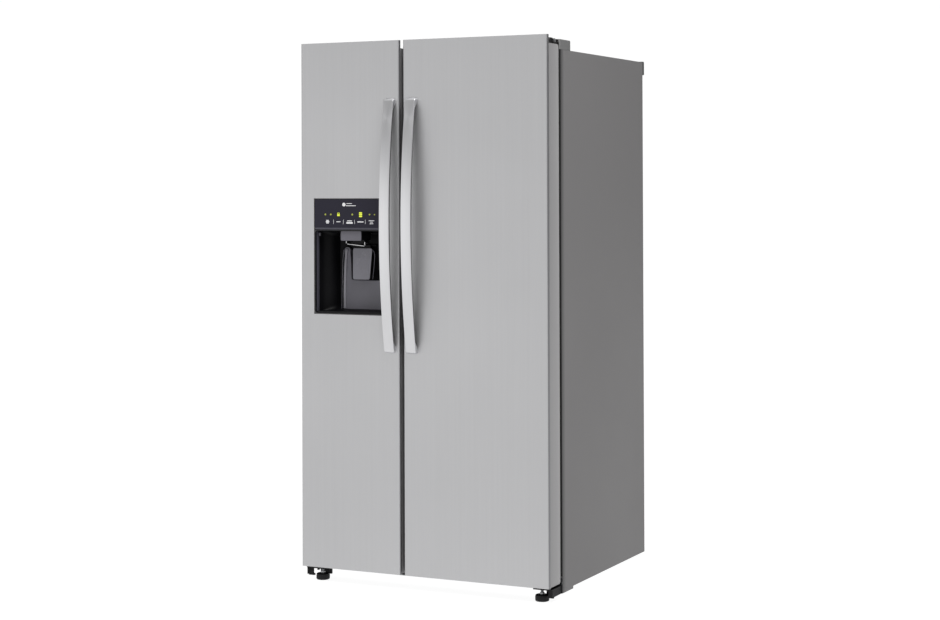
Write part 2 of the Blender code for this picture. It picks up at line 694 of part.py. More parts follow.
def freezer_door():
    place = point(-PIVOT_X, PIVOT_DEPTH, 0)
    hinge = pivot("freezer_door_hinge", place)
    x = FREEZER_DOOR_X
    hole_x = grown((DISPENSER_X, DISPENSER_X), DISPENSER_HALF + GAP)
    hole_z = grown(DISPENSER_Z, GAP)
    skin = cut(door_skin(x), block(hole_x, (-0.05, 0.05), hole_z))
    finished("freezer_door_skin", skin, "stainless", hinge)
    finished("freezer_door_case", door_case(x, place), "door_grey", hinge)

    around_duct = grown((DISPENSER_X, DISPENSER_X), CHUTE_HALF + 0.001)
    pocket = block(hole_x, (-0.05, 0.2), hole_z)
    duct_pocket = block(around_duct, (CHUTE_DEPTHS[0] - 0.001, 0.2), (1.25, 1.347))
    finished("freezer_door_foam", cut(door_foam(x), pocket, duct_pocket), "foam", hinge)

    ring_x = (-0.380, -0.1105)
    bulge_z, bulge_back, bulge_wall = (0.869, 1.365), 0.135, 0.0025
    bulge = block(ring_x, (DOOR_BACK - 0.0015, bulge_back), bulge_z)
    room = block(grown(ring_x, -bulge_wall), (0.05, bulge_back - bulge_wall), grown(bulge_z, -bulge_wall))
    mouth = block(around_duct, (0.05, 0.2), (1.270, 1.347))
    liner = cut(join(door_liner(x, ring_x), bulge), room, mouth)
    finished("freezer_door_liner", liner, "white_liner", hinge)
    finished("freezer_gasket", gasket(x), "gasket", hinge)
    finished("freezer_handle", handle(FREEZER_HANDLE_X), "stainless", hinge, smooth=True)
    bin_x = (-0.367, -0.1375)
    finished("freezer_bin_lower", door_bin(bin_x, (0.200, 0.330)), "clear_bin", hinge)
    finished("freezer_bin_upper", door_bin(bin_x, (0.560, 0.690)), "clear_bin", hinge)
    dispenser(hinge)


def fridge_door():
    place = point(PIVOT_X, PIVOT_DEPTH, 0)
    hinge = pivot("fridge_door_hinge", place)
    x = FRIDGE_DOOR_X
    finished("fridge_door_skin", door_skin(x), "stainless", hinge)
    finished("fridge_door_case", door_case(x, place), "door_grey", hinge)
    finished("fridge_door_foam", door_foam(x), "foam", hinge)
    finished("fridge_door_liner", door_liner(x, (-0.027, 0.390)), "white_liner", hinge)
    finished("fridge_gasket", gasket(x), "gasket", hinge)
    finished("fridge_handle", handle(FRIDGE_HANDLE_X), "stainless", hinge, smooth=True)
    finished("bottle_bin", door_bin((-0.0125, 0.376), (0.200, 0.340)), "clear_bin", hinge)

    dairy_x, dairy_z = (0.000, 0.368), (1.420, 1.520)
    lid_axis = (0.0975, 1.5260)
    tub = open_box(dairy_x, (DOOR_BACK + 0.0008, 0.195), dairy_z, TUB_WALL)
    ears = []
    for end, side in zip(dairy_x, (-1, 1)):
        ear_x = sorted((end - side * 0.0005, end + side * 0.0035))
        ears.append(block(ear_x, (DOOR_BACK + 0.0008, 0.108), (1.470, 1.536)))
    lid_place = point(sum(dairy_x) / 2, *lid_axis)
    bore = rod(lid_place, 0.0040, "X", -0.25, 0.25)
    finished("dairy_bin", cut(join(tub, *ears), bore), "clear_bin", hinge)

    lid_x = grown(dairy_x, -0.0012)
    back, top, plate = 0.2015, lid_axis[1] + 0.0015, 0.003
    outline = [(lid_axis[0], top - plate), (back - plate, top - plate), (back - plate, 1.425)]
    outline += [(back, 1.425), (back, top), (lid_axis[0], top)]
    lid = prism(outline, "X", *lid_x)
    axle = rod(lid_place, 0.0030, "X", -0.187, 0.187)
    finished("dairy_lid", join(lid, axle), "clear_bin", hinge, origin=lid_place)


def build():
    for item in list(bpy.data.objects):
        bpy.data.objects.remove(item)
    for word, side in (("left", -1), ("right", 1)):
        side_panel(f"side_panel_{word}", side)
        hinges(word, side)
    cabinet_plates()
    cabinet_foam()
    compartment_liner("freezer_liner", FREEZER_CAVITY_X)
    compartment_liner("fridge_liner", FRIDGE_CAVITY_X)
    base_pan()
    rollers_and_feet()
    machine_space()
    freezer_inside()
    fridge_inside()
    freezer_door()
    fridge_door()


build()
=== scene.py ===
import json
import math

import bmesh
import bpy
from mathutils import Matrix, Vector

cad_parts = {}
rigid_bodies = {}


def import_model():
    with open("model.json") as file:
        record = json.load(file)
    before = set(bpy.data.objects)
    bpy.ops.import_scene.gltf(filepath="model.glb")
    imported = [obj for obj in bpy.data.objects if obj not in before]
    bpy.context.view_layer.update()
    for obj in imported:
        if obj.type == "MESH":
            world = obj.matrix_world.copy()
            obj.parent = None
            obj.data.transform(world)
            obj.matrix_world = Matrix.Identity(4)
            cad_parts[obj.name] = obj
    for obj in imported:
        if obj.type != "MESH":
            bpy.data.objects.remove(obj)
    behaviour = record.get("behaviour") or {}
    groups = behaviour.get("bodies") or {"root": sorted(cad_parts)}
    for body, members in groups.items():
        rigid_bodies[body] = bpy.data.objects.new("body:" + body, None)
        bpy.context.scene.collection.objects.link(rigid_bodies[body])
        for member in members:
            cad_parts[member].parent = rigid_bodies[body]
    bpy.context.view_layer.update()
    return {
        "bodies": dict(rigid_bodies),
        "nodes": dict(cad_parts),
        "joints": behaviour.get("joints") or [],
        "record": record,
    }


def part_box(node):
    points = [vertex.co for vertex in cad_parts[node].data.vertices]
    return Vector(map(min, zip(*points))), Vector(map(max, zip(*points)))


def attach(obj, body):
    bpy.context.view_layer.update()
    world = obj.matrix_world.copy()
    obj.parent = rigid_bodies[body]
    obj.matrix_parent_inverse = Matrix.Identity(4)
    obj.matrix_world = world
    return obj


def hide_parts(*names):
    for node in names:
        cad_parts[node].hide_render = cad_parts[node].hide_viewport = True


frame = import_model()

nodes = frame["nodes"]
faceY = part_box("fridge_door_skin")[0].y  # front of the doors, depths count back from here
materials = {}
print("frame ready,", len(nodes), "nodes")


# places and outlines
def at(x, depth, z):
    return Vector((x, faceY + depth, z))


def span(node):
    low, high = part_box(node)
    return (low.x, high.x), (low.y - faceY, high.y - faceY), (low.z, high.z)


def about(middle, half):
    return middle - half, middle + half


def grown(pair, by):
    return pair[0] - by, pair[1] + by


def mix(a, b, share):
    return a + (b - a) * share


def arc(centre, radius, start, end, steps):
    turns = [math.radians(mix(start, end, i / steps)) for i in range(steps + 1)]
    return [(centre[0] + radius * math.cos(t), centre[1] + radius * math.sin(t)) for t in turns]


def roundRect(a, b, radius, steps=6):
    corners = ((1, 0, -90), (1, 1, 0), (0, 1, 90), (0, 0, 180))
    points = []
    for right, upper, start in corners:
        centre = (a[right] + (-radius if right else radius), b[upper] + (-radius if upper else radius))
        points += arc(centre, radius, start, start + 90, steps)
    return points


def smoothPath(points, steps=8):
    points = [Vector(p) for p in points]
    padded = [points[0] * 2 - points[1], *points, points[-1] * 2 - points[-2]]
    path = []
    for a, b, c, d in zip(padded, padded[1:], padded[2:], padded[3:]):
        for i in range(steps):
            t = i / steps
            square, cube = 2 * a - 5 * b + 4 * c - d, 3 * b - a - 3 * c + d
            path.append(0.5 * (2 * b + (c - a) * t + square * t**2 + cube * t**3))
    return path + [points[-1]]


def flatLoop(x, depth, z, inset, radius, steps=5):
    return [at(a, b, z) for a, b in roundRect(grown(x, -inset), grown(depth, -inset), radius, steps)]


def uprightLoop(x, depth, z, inset, radius, steps=5):
    return [at(a, depth, b) for a, b in roundRect(grown(x, -inset), grown(z, -inset), radius, steps)]


# mesh building
def loft(bm, loops, caps=(True, True), ring=False):
    rows = [[bm.verts.new(p) for p in loop] for loop in loops]
    pairs = list(zip(rows, rows[1:])) + ([(rows[-1], rows[0])] if ring else [])
    for near, far in pairs:
        for i in range(len(near)):
            j = (i + 1) % len(near)
            bm.faces.new((near[i], near[j], far[j], far[i]))
    if caps[0] and not ring:
        bm.faces.new(rows[0][::-1])
    if caps[1] and not ring:
        bm.faces.new(rows[-1])


def prism(bm, outline, axis, low, high):
    place = {
        "X": lambda a, b, c: at(c, a, b),
        "Y": lambda a, b, c: at(a, c, b),
        "Z": lambda a, b, c: at(a, b, c),
    }[axis]
    loft(bm, [[place(a, b, c) for a, b in outline] for c in (low, high)])


def slab(bm, x, depth, z):
    prism(bm, [(x[0], z[0]), (x[1], z[0]), (x[1], z[1]), (x[0], z[1])], "Y", *depth)


def lathe(bm, profile, centre, axis="Z", sides=32, ripple=0.0):
    turn = {
        "X": Matrix.Rotation(math.pi / 2, 4, "Y"),
        "Y": Matrix.Rotation(-math.pi / 2, 4, "X"),
        "Z": Matrix.Identity(4),
    }[axis]
    loops = []
    for radius, along in profile:
        loop = []
        for i in range(sides):
            angle = 2 * math.pi * i / sides
            r = radius - (ripple if i % 4 < 2 else 0)
            loop.append(turn @ Vector((r * math.cos(angle), r * math.sin(angle), along)) + centre)
        loops.append(loop)
    loft(bm, loops)


def tube(bm, path, radius, sides=10):
    side = None
    loops = []
    for i, here in enumerate(path):
        before = path[i - 1] if i else here
        after = path[i + 1] if i < len(path) - 1 else here
        ahead = (after - before).normalized()
        if side is None:
            side = ahead.orthogonal().normalized()
        side = (side - ahead * side.dot(ahead)).normalized()
        up = ahead.cross(side)
        angles = [2 * math.pi * k / sides for k in range(sides)]
        loops.append([here + (side * math.cos(a) + up * math.sin(a)) * radius for a in angles])
    loft(bm, loops)


def tub(bm, x, depth, z, wall, corner=0.012, foot=0.010, flare=0.0):
    # open tub: rounded upright corners, rounded foot, sides that flare up to a straight rim
    rim = z[1] - 0.008
    profile = [(flare + foot - foot * math.sin(t), z[0] + foot - foot * math.cos(t))
               for t in (math.radians(15 * i) for i in range(7))]
    profile += [(0.0, rim), (0.0, z[1] - 0.001), (0.001, z[1])]
    profile += [(wall - 0.001, z[1]), (wall, z[1] - 0.001)]
    profile += [(wall + flare + foot - foot * math.sin(t), z[0] + wall + foot - foot * math.cos(t))
                for t in (math.radians(90 - 15 * i) for i in range(7))]
    loft(bm, [flatLoop(x, depth, height, inset, max(corner - inset, 0.002)) for inset, height in profile])


def rimSweep(bm, x, z, profile, corner):
    # a closed cross-section of (inset, depth) carried round an upright rectangle
    loops = [uprightLoop(x, depth, z, inset, max(corner - inset, 0.0015)) for inset, depth in profile]
    loft(bm, loops, ring=True)


def rawObject(name, bm, flip=False):
    bmesh.ops.recalc_face_normals(bm, faces=bm.faces)
    if flip:
        bmesh.ops.reverse_faces(bm, faces=bm.faces)
    mesh = bpy.data.meshes.new(name)
    bm.to_mesh(mesh)
    bm.free()
    thing = bpy.data.objects.new(name, mesh)
    bpy.context.scene.collection.objects.link(thing)
    return thing


def carve(thing, *cutters, operation="DIFFERENCE"):
    tools = [rawObject("cutter", bm) for bm in cutters]
    for tool in tools:
        modifier = thing.modifiers.new("cut", "BOOLEAN")
        modifier.operation = operation
        modifier.object = tool
        modifier.solver = "EXACT"
    graph = bpy.context.evaluated_depsgraph_get()
    mesh = bpy.data.meshes.new_from_object(thing.evaluated_get(graph))
    thing.modifiers.clear()
    thing.data = mesh
    for tool in tools:
        bpy.data.objects.remove(tool)
    return thing


def shape(builder, *arguments, **values):
    bm = bmesh.new()
    builder(bm, *arguments, **values)
    return bm


def addBevel(thing, width, angle=32, segments=2):
    bevel = thing.modifiers.new("softEdges", "BEVEL")
    bevel.width = width
    bevel.segments = segments
    bevel.limit_method = "ANGLE"
    bevel.angle_limit = math.radians(angle)
    bevel.harden_normals = True


def settle(thing, look, body, bevel=0.0, stands=(), angle=32, segments=2):
    thing.data.materials.clear()
    thing.data.materials.append(materials[look])
    thing.data.shade_smooth()
    if bevel:
        addBevel(thing, bevel, angle, segments)
    else:
        thing.data.set_sharp_from_angle(angle=math.radians(angle))
    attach(thing, body)
    if stands:
        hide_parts(*stands)
    return thing


def make(name, bm, look, body, **how):
    return settle(rawObject(name, bm), look, body, **how)


def dress(look, *names, bevel=0.0, angle=32, segments=2):
    # a CAD node stays as it is, with a finish and softened edges
    for name in names:
        thing = nodes[name]
        thing.data.materials.clear()
        thing.data.materials.append(materials[look])
        if bevel:
            weld = thing.modifiers.new("weld", "WELD")
            weld.merge_threshold = 0.00001
            flat = thing.modifiers.new("flat", "DECIMATE")
            flat.decimate_type = "DISSOLVE"
            flat.angle_limit = math.radians(1)
            addBevel(thing, bevel, angle, segments)


# shader groups
def newGroup(name, inputs, outputs):
    tree = bpy.data.node_groups.new(name, "ShaderNodeTree")
    for label, value in inputs.items():
        socket = tree.interface.new_socket(name=label, in_out="INPUT", socket_type="NodeSocketFloat")
        socket.default_value = value
    for label in outputs:
        tree.interface.new_socket(name=label, in_out="OUTPUT", socket_type="NodeSocketFloat")
    return tree, tree.nodes.new("NodeGroupInput"), tree.nodes.new("NodeGroupOutput")


def addNode(tree, kind, **values):
    node = tree.nodes.new(kind)
    for key, value in values.items():
        node.inputs[key.replace("_", " ")].default_value = value
    return node


def combine(tree, operation, a, b=None, clamp=False):
    node = tree.nodes.new("ShaderNodeMath")
    node.operation = operation
    node.use_clamp = clamp
    for socket, value in zip(node.inputs, (a, b)):
        if value is None:
            continue
        if isinstance(value, (int, float)):
            socket.default_value = value
        else:
            tree.links.new(value, socket)
    return node.outputs[0]


def remap(tree, value, low, high, toLow, toHigh):
    node = tree.nodes.new("ShaderNodeMapRange")
    tree.links.new(value, node.inputs["Value"])
    for key, amount in zip(("From Min", "From Max", "To Min", "To Max"), (low, high, toLow, toHigh)):
        if isinstance(amount, (int, float)):
            node.inputs[key].default_value = amount
        else:
            tree.links.new(amount, node.inputs[key])
    return node.outputs["Result"]


def noiseOf(tree, vector, scale, detail=3.0, roughness=0.55):
    node = addNode(tree, "ShaderNodeTexNoise", Detail=detail, Roughness=roughness)
    tree.links.new(vector, node.inputs["Vector"])
    if isinstance(scale, (int, float)):
        node.inputs["Scale"].default_value = scale
    else:
        tree.links.new(scale, node.inputs["Scale"])
    return node.outputs["Fac"]


def objectPlace(tree):
    return tree.nodes.new("ShaderNodeTexCoord").outputs["Object"]


def buildBrushed():
    inputs = {"Lines X": 700.0, "Lines Y": 700.0, "Lines Z": 4.0, "Cloud": 2.2, "Balance": 0.5}
    tree, source, sink = newGroup("brushedLines", inputs, ("Tone", "Height", "Smear"))
    place = objectPlace(tree)
    lines = tree.nodes.new("ShaderNodeCombineXYZ")
    for axis in "XYZ":
        tree.links.new(source.outputs["Lines " + axis], lines.inputs[axis])
    stretched = tree.nodes.new("ShaderNodeVectorMath")
    stretched.operation = "MULTIPLY"
    tree.links.new(place, stretched.inputs[0])
    tree.links.new(lines.outputs[0], stretched.inputs[1])
    fine = noiseOf(tree, stretched.outputs[0], 1.0, 2.0, 0.6)
    coarse = noiseOf(tree, stretched.outputs[0], 0.16, 2.0, 0.5)
    cloud = noiseOf(tree, place, source.outputs["Cloud"], 3.0)
    grain = combine(tree, "ADD", combine(tree, "MULTIPLY", fine, 0.55),
                    combine(tree, "MULTIPLY", coarse, 0.45))
    inner = combine(tree, "MULTIPLY", grain, source.outputs["Balance"])
    outer = combine(tree, "MULTIPLY", cloud, combine(tree, "SUBTRACT", 1.0, source.outputs["Balance"]))
    tree.links.new(remap(tree, combine(tree, "ADD", inner, outer), 0.3, 0.7, 0.0, 1.0), sink.inputs["Tone"])
    tree.links.new(grain, sink.inputs["Height"])
    tree.links.new(remap(tree, cloud, 0.35, 0.65, 0.0, 1.0), sink.inputs["Smear"])
    return tree


def buildMoulded():
    inputs = {"Grain": 900.0, "Cloud": 6.0, "Balance": 0.4}
    tree, source, sink = newGroup("mouldedGrain", inputs, ("Tone", "Height", "Smear"))
    place = objectPlace(tree)
    fine = noiseOf(tree, place, source.outputs["Grain"], 2.0, 0.5)
    cloud = noiseOf(tree, place, source.outputs["Cloud"], 4.0)
    inner = combine(tree, "MULTIPLY", fine, source.outputs["Balance"])
    outer = combine(tree, "MULTIPLY", cloud, combine(tree, "SUBTRACT", 1.0, source.outputs["Balance"]))
    tree.links.new(remap(tree, combine(tree, "ADD", inner, outer), 0.3, 0.7, 0.0, 1.0), sink.inputs["Tone"])
    tree.links.new(fine, sink.inputs["Height"])
    tree.links.new(remap(tree, cloud, 0.35, 0.65, 0.0, 1.0), sink.inputs["Smear"])
    return tree


# edge wear together with a painted edge highlight: lightens bevelled edges in patches
def buildWearAndSheen():
    tree, source, sink = newGroup("edgeWearAndSheen", {"Width": 0.0012, "Amount": 0.5}, ("Mask",))
    softened = tree.nodes.new("ShaderNodeBevel")
    softened.samples = 3
    tree.links.new(source.outputs["Width"], softened.inputs["Radius"])
    geometry = tree.nodes.new("ShaderNodeNewGeometry")
    facing = tree.nodes.new("ShaderNodeVectorMath")
    facing.operation = "DOT_PRODUCT"
    tree.links.new(softened.outputs[0], facing.inputs[0])
    tree.links.new(geometry.outputs["Normal"], facing.inputs[1])
    edge = remap(tree, facing.outputs["Value"], 0.98, 0.80, 0.0, 1.0)
    patchy = remap(tree, noiseOf(tree, objectPlace(tree), 60.0, 4.0), 0.35, 0.65, 0.25, 1.0)
    wornAndSheen = combine(tree, "MULTIPLY", edge, patchy)
    tree.links.new(combine(tree, "MULTIPLY", wornAndSheen, source.outputs["Amount"], True), sink.inputs["Mask"])
    return tree


def buildDust():
    tree, source, sink = newGroup("settledDust", {"Amount": 0.3, "Patch": 9.0}, ("Mask",))
    geometry = tree.nodes.new("ShaderNodeNewGeometry")
    split = tree.nodes.new("ShaderNodeSeparateXYZ")
    tree.links.new(geometry.outputs["Normal"], split.inputs[0])
    upward = remap(tree, split.outputs["Z"], 0.5, 0.95, 0.0, 1.0)
    patches = remap(tree, noiseOf(tree, objectPlace(tree), source.outputs["Patch"], 5.0, 0.65), 0.4, 0.7,
                    0.2, 1.0)
    cover = combine(tree, "MULTIPLY", upward, patches)
    tree.links.new(combine(tree, "MULTIPLY", cover, source.outputs["Amount"], True), sink.inputs["Mask"])
    return tree


def buildPaintedShade():
    # painted shade: a mask that falls from one to nothing along the depth of the object
    tree, source, sink = newGroup("paintedShadeRamp", {"Start": 0.0, "End": 1.0, "Amount": 0.5}, ("Mask",))
    split = tree.nodes.new("ShaderNodeSeparateXYZ")
    tree.links.new(objectPlace(tree), split.inputs[0])
    along = remap(tree, split.outputs["Y"], source.outputs["Start"], source.outputs["End"], 1.0, 0.0)
    tree.links.new(combine(tree, "MULTIPLY", along, source.outputs["Amount"], True), sink.inputs["Mask"])
    return tree


groups = {"paintedShade": buildPaintedShade(), "brushed": buildBrushed(), "moulded": buildMoulded(), "wearAndSheen": buildWearAndSheen(),
          "dust": buildDust()}


def blendColour(tree, mask, first, second):
    node = tree.nodes.new("ShaderNodeMix")
    node.data_type = "RGBA"
    tree.links.new(mask, node.inputs[0])
    for socket, value in ((node.inputs[6], first), (node.inputs[7], second)):
        if isinstance(value, tuple):
            socket.default_value = (*value, 1.0)
        else:
            tree.links.new(value, socket)
    return node.outputs[2]


def finish(name, colour, rough, grain, tone, bump, metallic=0.0, roughTone=0.05, depth=0.0001,
           wearAndSheen=None, dust=None, paintedShade=None, sockets=None):
    # tone is how far the colour swings each way, the edge mask (amount, width, colour) is wear together with
    # a painted edge highlight, dust an amount, the depth mask (start depth, end depth, amount, colour) is
    # painted shade, darkest at the start depth
    material = bpy.data.materials.new(name)
    material.use_nodes = True
    tree = material.node_tree
    shader = tree.nodes["Principled BSDF"]
    shader.inputs["Metallic"].default_value = metallic
    pattern = tree.nodes.new("ShaderNodeGroup")
    pattern.node_tree = groups["moulded" if "Grain" in grain else "brushed"]
    for key, value in grain.items():
        pattern.inputs[key].default_value = value
    dark = tuple(c * (1 - tone) for c in colour)
    light = tuple(min(c * (1 + tone), 1.0) for c in colour)
    paint = blendColour(tree, pattern.outputs["Tone"], dark, light)
    dull = remap(tree, pattern.outputs["Smear"], 0.0, 1.0, rough - roughTone, rough + roughTone)
    if wearAndSheen:
        wornAndSheen = tree.nodes.new("ShaderNodeGroup")
        wornAndSheen.node_tree = groups["wearAndSheen"]
        wornAndSheen.inputs["Amount"].default_value = wearAndSheen[0]
        wornAndSheen.inputs["Width"].default_value = wearAndSheen[1]
        paint = blendColour(tree, wornAndSheen.outputs["Mask"], paint, wearAndSheen[2])
    if paintedShade:
        shaded = tree.nodes.new("ShaderNodeGroup")
        shaded.node_tree = groups["paintedShade"]
        shaded.inputs["Start"].default_value = faceY + paintedShade[0]
        shaded.inputs["End"].default_value = faceY + paintedShade[1]
        shaded.inputs["Amount"].default_value = paintedShade[2]
        paint = blendColour(tree, shaded.outputs["Mask"], paint, paintedShade[3])
    if dust:
        settled = tree.nodes.new("ShaderNodeGroup")
        settled.node_tree = groups["dust"]
        settled.inputs["Amount"].default_value = dust
        paint = blendColour(tree, settled.outputs["Mask"], paint, (0.42, 0.40, 0.37))
        dull = combine(tree, "ADD", dull, combine(tree, "MULTIPLY", settled.outputs["Mask"], 0.4), True)
    tree.links.new(paint, shader.inputs["Base Color"])
    tree.links.new(dull, shader.inputs["Roughness"])
    if bump:
        raised = addNode(tree, "ShaderNodeBump", Strength=bump, Distance=depth)
        tree.links.new(pattern.outputs["Height"], raised.inputs["Height"])
        tree.links.new(raised.outputs[0], shader.inputs["Normal"])
    for key, value in (sockets or {}).items():
        shader.inputs[key].default_value = value
    material.diffuse_color = (*colour, 1.0)
    materials[name] = material
    return material


upright = {"Lines X": 900.0, "Lines Y": 900.0, "Lines Z": 5.0}
# lighter sheet edges: wear together with a painted edge highlight
steelWearAndSheen = (0.35, 0.0010, (0.80, 0.80, 0.80))

finish("doorSteel", (0.615, 0.615, 0.625), 0.42, upright, 0.035, 0.05, metallic=0.92,
       roughTone=0.03, depth=0.00008, sockets={"Anisotropic": 0.75})
# painted shade: a darker copy of the door steel for the side-facing return of the door face
finish("doorEdgePaintedShade", (0.30, 0.30, 0.31), 0.38, upright, 0.05, 0.05, metallic=0.90, roughTone=0.03,
       depth=0.00008)
finish("handleSteel", (0.76, 0.76, 0.775), 0.30, upright, 0.025, 0.05, metallic=1.0,
       roughTone=0.02, depth=0.00008, sockets={"Anisotropic": 0.6})
# painted shade: the door sides darken towards the door face
finish("doorPaint", (0.46, 0.455, 0.46), 0.42, upright, 0.08, 0.05, metallic=0.20,
       roughTone=0.04, paintedShade=(0.010, 0.085, 0.75, (0.33, 0.325, 0.33)))
# painted shade: the cabinet panels darken along their front edge beside the door gap
finish("cabinetPaint", (0.225, 0.219, 0.221), 0.46, {"Grain": 420.0, "Cloud": 1.6}, 0.05,
       0.10, metallic=0.10, depth=0.00015, dust=0.10, paintedShade=(0.104, 0.130, 0.85, (0.05, 0.05, 0.05)))
finish("coverPlastic", (0.19, 0.19, 0.19), 0.52, {"Grain": 1400.0}, 0.06, 0.12, dust=0.25)
finish("darkPlastic", (0.075, 0.075, 0.075), 0.55, {"Grain": 1300.0}, 0.08, 0.12, dust=0.15)
# the core's near-black colour also stands in for the shade along the handle's side
finish("handleCoreShaded", (0.085, 0.085, 0.087), 0.50, upright, 0.10, 0.10)
finish("glossBlack", (0.010, 0.010, 0.012), 0.16, {"Grain": 300.0, "Cloud": 8.0}, 0.2, 0.015,
       roughTone=0.04, sockets={"Coat Weight": 0.4, "Coat Roughness": 0.06})
# lighter edges on the dull black: wear together with a painted edge highlight
finish("dullBlack", (0.011, 0.011, 0.012), 0.50, {"Grain": 1500.0}, 0.15, 0.14,
       roughTone=0.06, wearAndSheen=(0.25, 0.0008, (0.05, 0.05, 0.05)), sockets={"Specular IOR Level": 0.25})
finish("panelGloss", (0.019, 0.0175, 0.031), 0.22, {"Grain": 200.0, "Cloud": 5.0}, 0.10, 0.01,
       roughTone=0.03, sockets={"Specular IOR Level": 0.2})
# lighter grey for the panel's lower lip, also a painted highlight on the recess side walls
finish("panelLipAndWallSheen", (0.085, 0.083, 0.105), 0.30, {"Grain": 200.0, "Cloud": 5.0}, 0.10, 0.01,
       roughTone=0.03, sockets={"Specular IOR Level": 0.3})
finish("recessBlack", (0.0055, 0.0055, 0.0065), 0.42, {"Grain": 700.0, "Cloud": 8.0}, 0.2,
       0.05, sockets={"Specular IOR Level": 0.16})
finish("seamShadow", (0.020, 0.020, 0.020), 0.60, {"Grain": 900.0, "Cloud": 5.0}, 0.15, 0.1)
finish("smokyPlastic", (0.22, 0.215, 0.25), 0.24, {"Grain": 500.0, "Cloud": 14.0}, 0.16, 0.02,
       sockets={"Coat Weight": 0.5, "Coat Roughness": 0.08})
finish("guideGrey", (0.145, 0.140, 0.165), 0.34, {"Grain": 900.0, "Cloud": 9.0}, 0.12, 0.05)
finish("padGrey", (0.185, 0.180, 0.210), 0.34, {"Grain": 900.0, "Cloud": 9.0}, 0.14, 0.05)
finish("guideRib", (0.36, 0.355, 0.39), 0.30, {"Grain": 600.0, "Cloud": 10.0}, 0.12, 0.03)
finish("foamFill", (0.75, 0.62, 0.33), 0.90, {"Grain": 500.0, "Cloud": 30.0}, 0.12, 0.5, depth=0.0008)
finish("linerWhite", (0.80, 0.81, 0.81), 0.34, {"Grain": 160.0, "Cloud": 3.0}, 0.012, 0.02,
       roughTone=0.015, depth=0.0002)
finish("sealRubber", (0.045, 0.045, 0.045), 0.72, {"Grain": 800.0}, 0.15, 0.1, roughTone=0.06)
finish("clearTub", (0.86, 0.92, 0.95), 0.07, {"Grain": 120.0, "Cloud": 6.0}, 0.02, 0.02,
       roughTone=0.02, depth=0.0002, sockets={"Transmission Weight": 0.86, "IOR": 1.35})
finish("shelfGlass", (0.84, 0.93, 0.90), 0.03, {"Grain": 60.0, "Cloud": 4.0}, 0.01, 0.0,
       roughTone=0.01, depth=0.0002, sockets={"Transmission Weight": 0.95, "IOR": 1.45})
# lighter edges on the enamel: wear together with a painted edge highlight
finish("blackEnamel", (0.016, 0.016, 0.016), 0.38, {"Grain": 500.0}, 0.15, 0.08, metallic=0.4,
       roughTone=0.06, wearAndSheen=(0.4, 0.0008, (0.22, 0.22, 0.22)), dust=0.12)
finish("zincSheet", (0.50, 0.51, 0.52), 0.40, {"Grain": 90.0, "Cloud": 22.0}, 0.14, 0.05,
       metallic=0.9, roughTone=0.09, depth=0.0002, wearAndSheen=steelWearAndSheen)
finish("whitePlastic", (0.76, 0.77, 0.78), 0.38, {"Grain": 1200.0}, 0.03, 0.08)
finish("copperPipe", (0.62, 0.30, 0.17), 0.30, {"Grain": 300.0, "Cloud": 40.0}, 0.18, 0.05,
       metallic=1.0, roughTone=0.08)
finish("chromeTrim", (0.86, 0.86, 0.87), 0.08, {"Grain": 300.0}, 0.02, 0.0, metallic=1.0,
       roughTone=0.03)
finish("printWhite", (0.90, 0.90, 0.92), 0.45, {"Grain": 900.0}, 0.05, 0.0)
finish("litYellow", (0.36, 0.40, 0.04), 0.40, {"Grain": 1200.0, "Cloud": 200.0}, 0.20, 0.0,
       sockets={"Emission Color": (0.72, 0.80, 0.05, 1.0), "Emission Strength": 0.75})
finish("litOlive", (0.20, 0.22, 0.04), 0.40, {"Grain": 1200.0, "Cloud": 200.0}, 0.20, 0.0,
       sockets={"Emission Color": (0.42, 0.45, 0.04, 1.0), "Emission Strength": 0.45})
finish("lampLens", (0.92, 0.92, 0.88), 0.25, {"Grain": 700.0}, 0.03, 0.1,
       sockets={"Emission Color": (1.0, 0.97, 0.90, 1.0), "Emission Strength": 1.2})
print("finishes ready,", len(materials))


# doors
doorFace = {"corner": 0.007, "steps": 8, "paintedShadeFrom": 0.55, "sheet": 0.001, "rim": 0.004, "edge": 0.0005}


def makeDoorFace(name, node, body, opening=None):
    x, depth, z = span(node)
    corner, steps = doorFace["corner"], doorFace["steps"]
    outline = [(x[0], depth[1])] + arc((x[0] + corner, corner), corner, 180, 270, steps)
    outline += arc((x[1] - corner, corner), corner, 270, 360, steps) + [(x[1], depth[1])]
    face = rawObject(name, shape(prism, outline, "Z", *z))
    cutters = [shape(slab, grown(x, -doorFace["rim"]), (doorFace["sheet"], 0.03),
                     grown(z, -doorFace["sheet"]))]
    if opening:
        cutters.append(shape(slab, *opening))
    carve(face, *cutters)
    settle(face, "doorSteel", body, bevel=doorFace["edge"], stands=(node,))
    # faces turned sideways get the darker steel copy as painted shade
    face.data.materials.append(materials["doorEdgePaintedShade"])
    for polygon in face.data.polygons:
        if abs(polygon.normal.x) > doorFace["paintedShadeFrom"]:
            polygon.material_index = 1


doorShell = {"corner": 0.010, "steps": 8, "wall": 0.002, "pinHole": 0.0065, "edge": 0.0008}


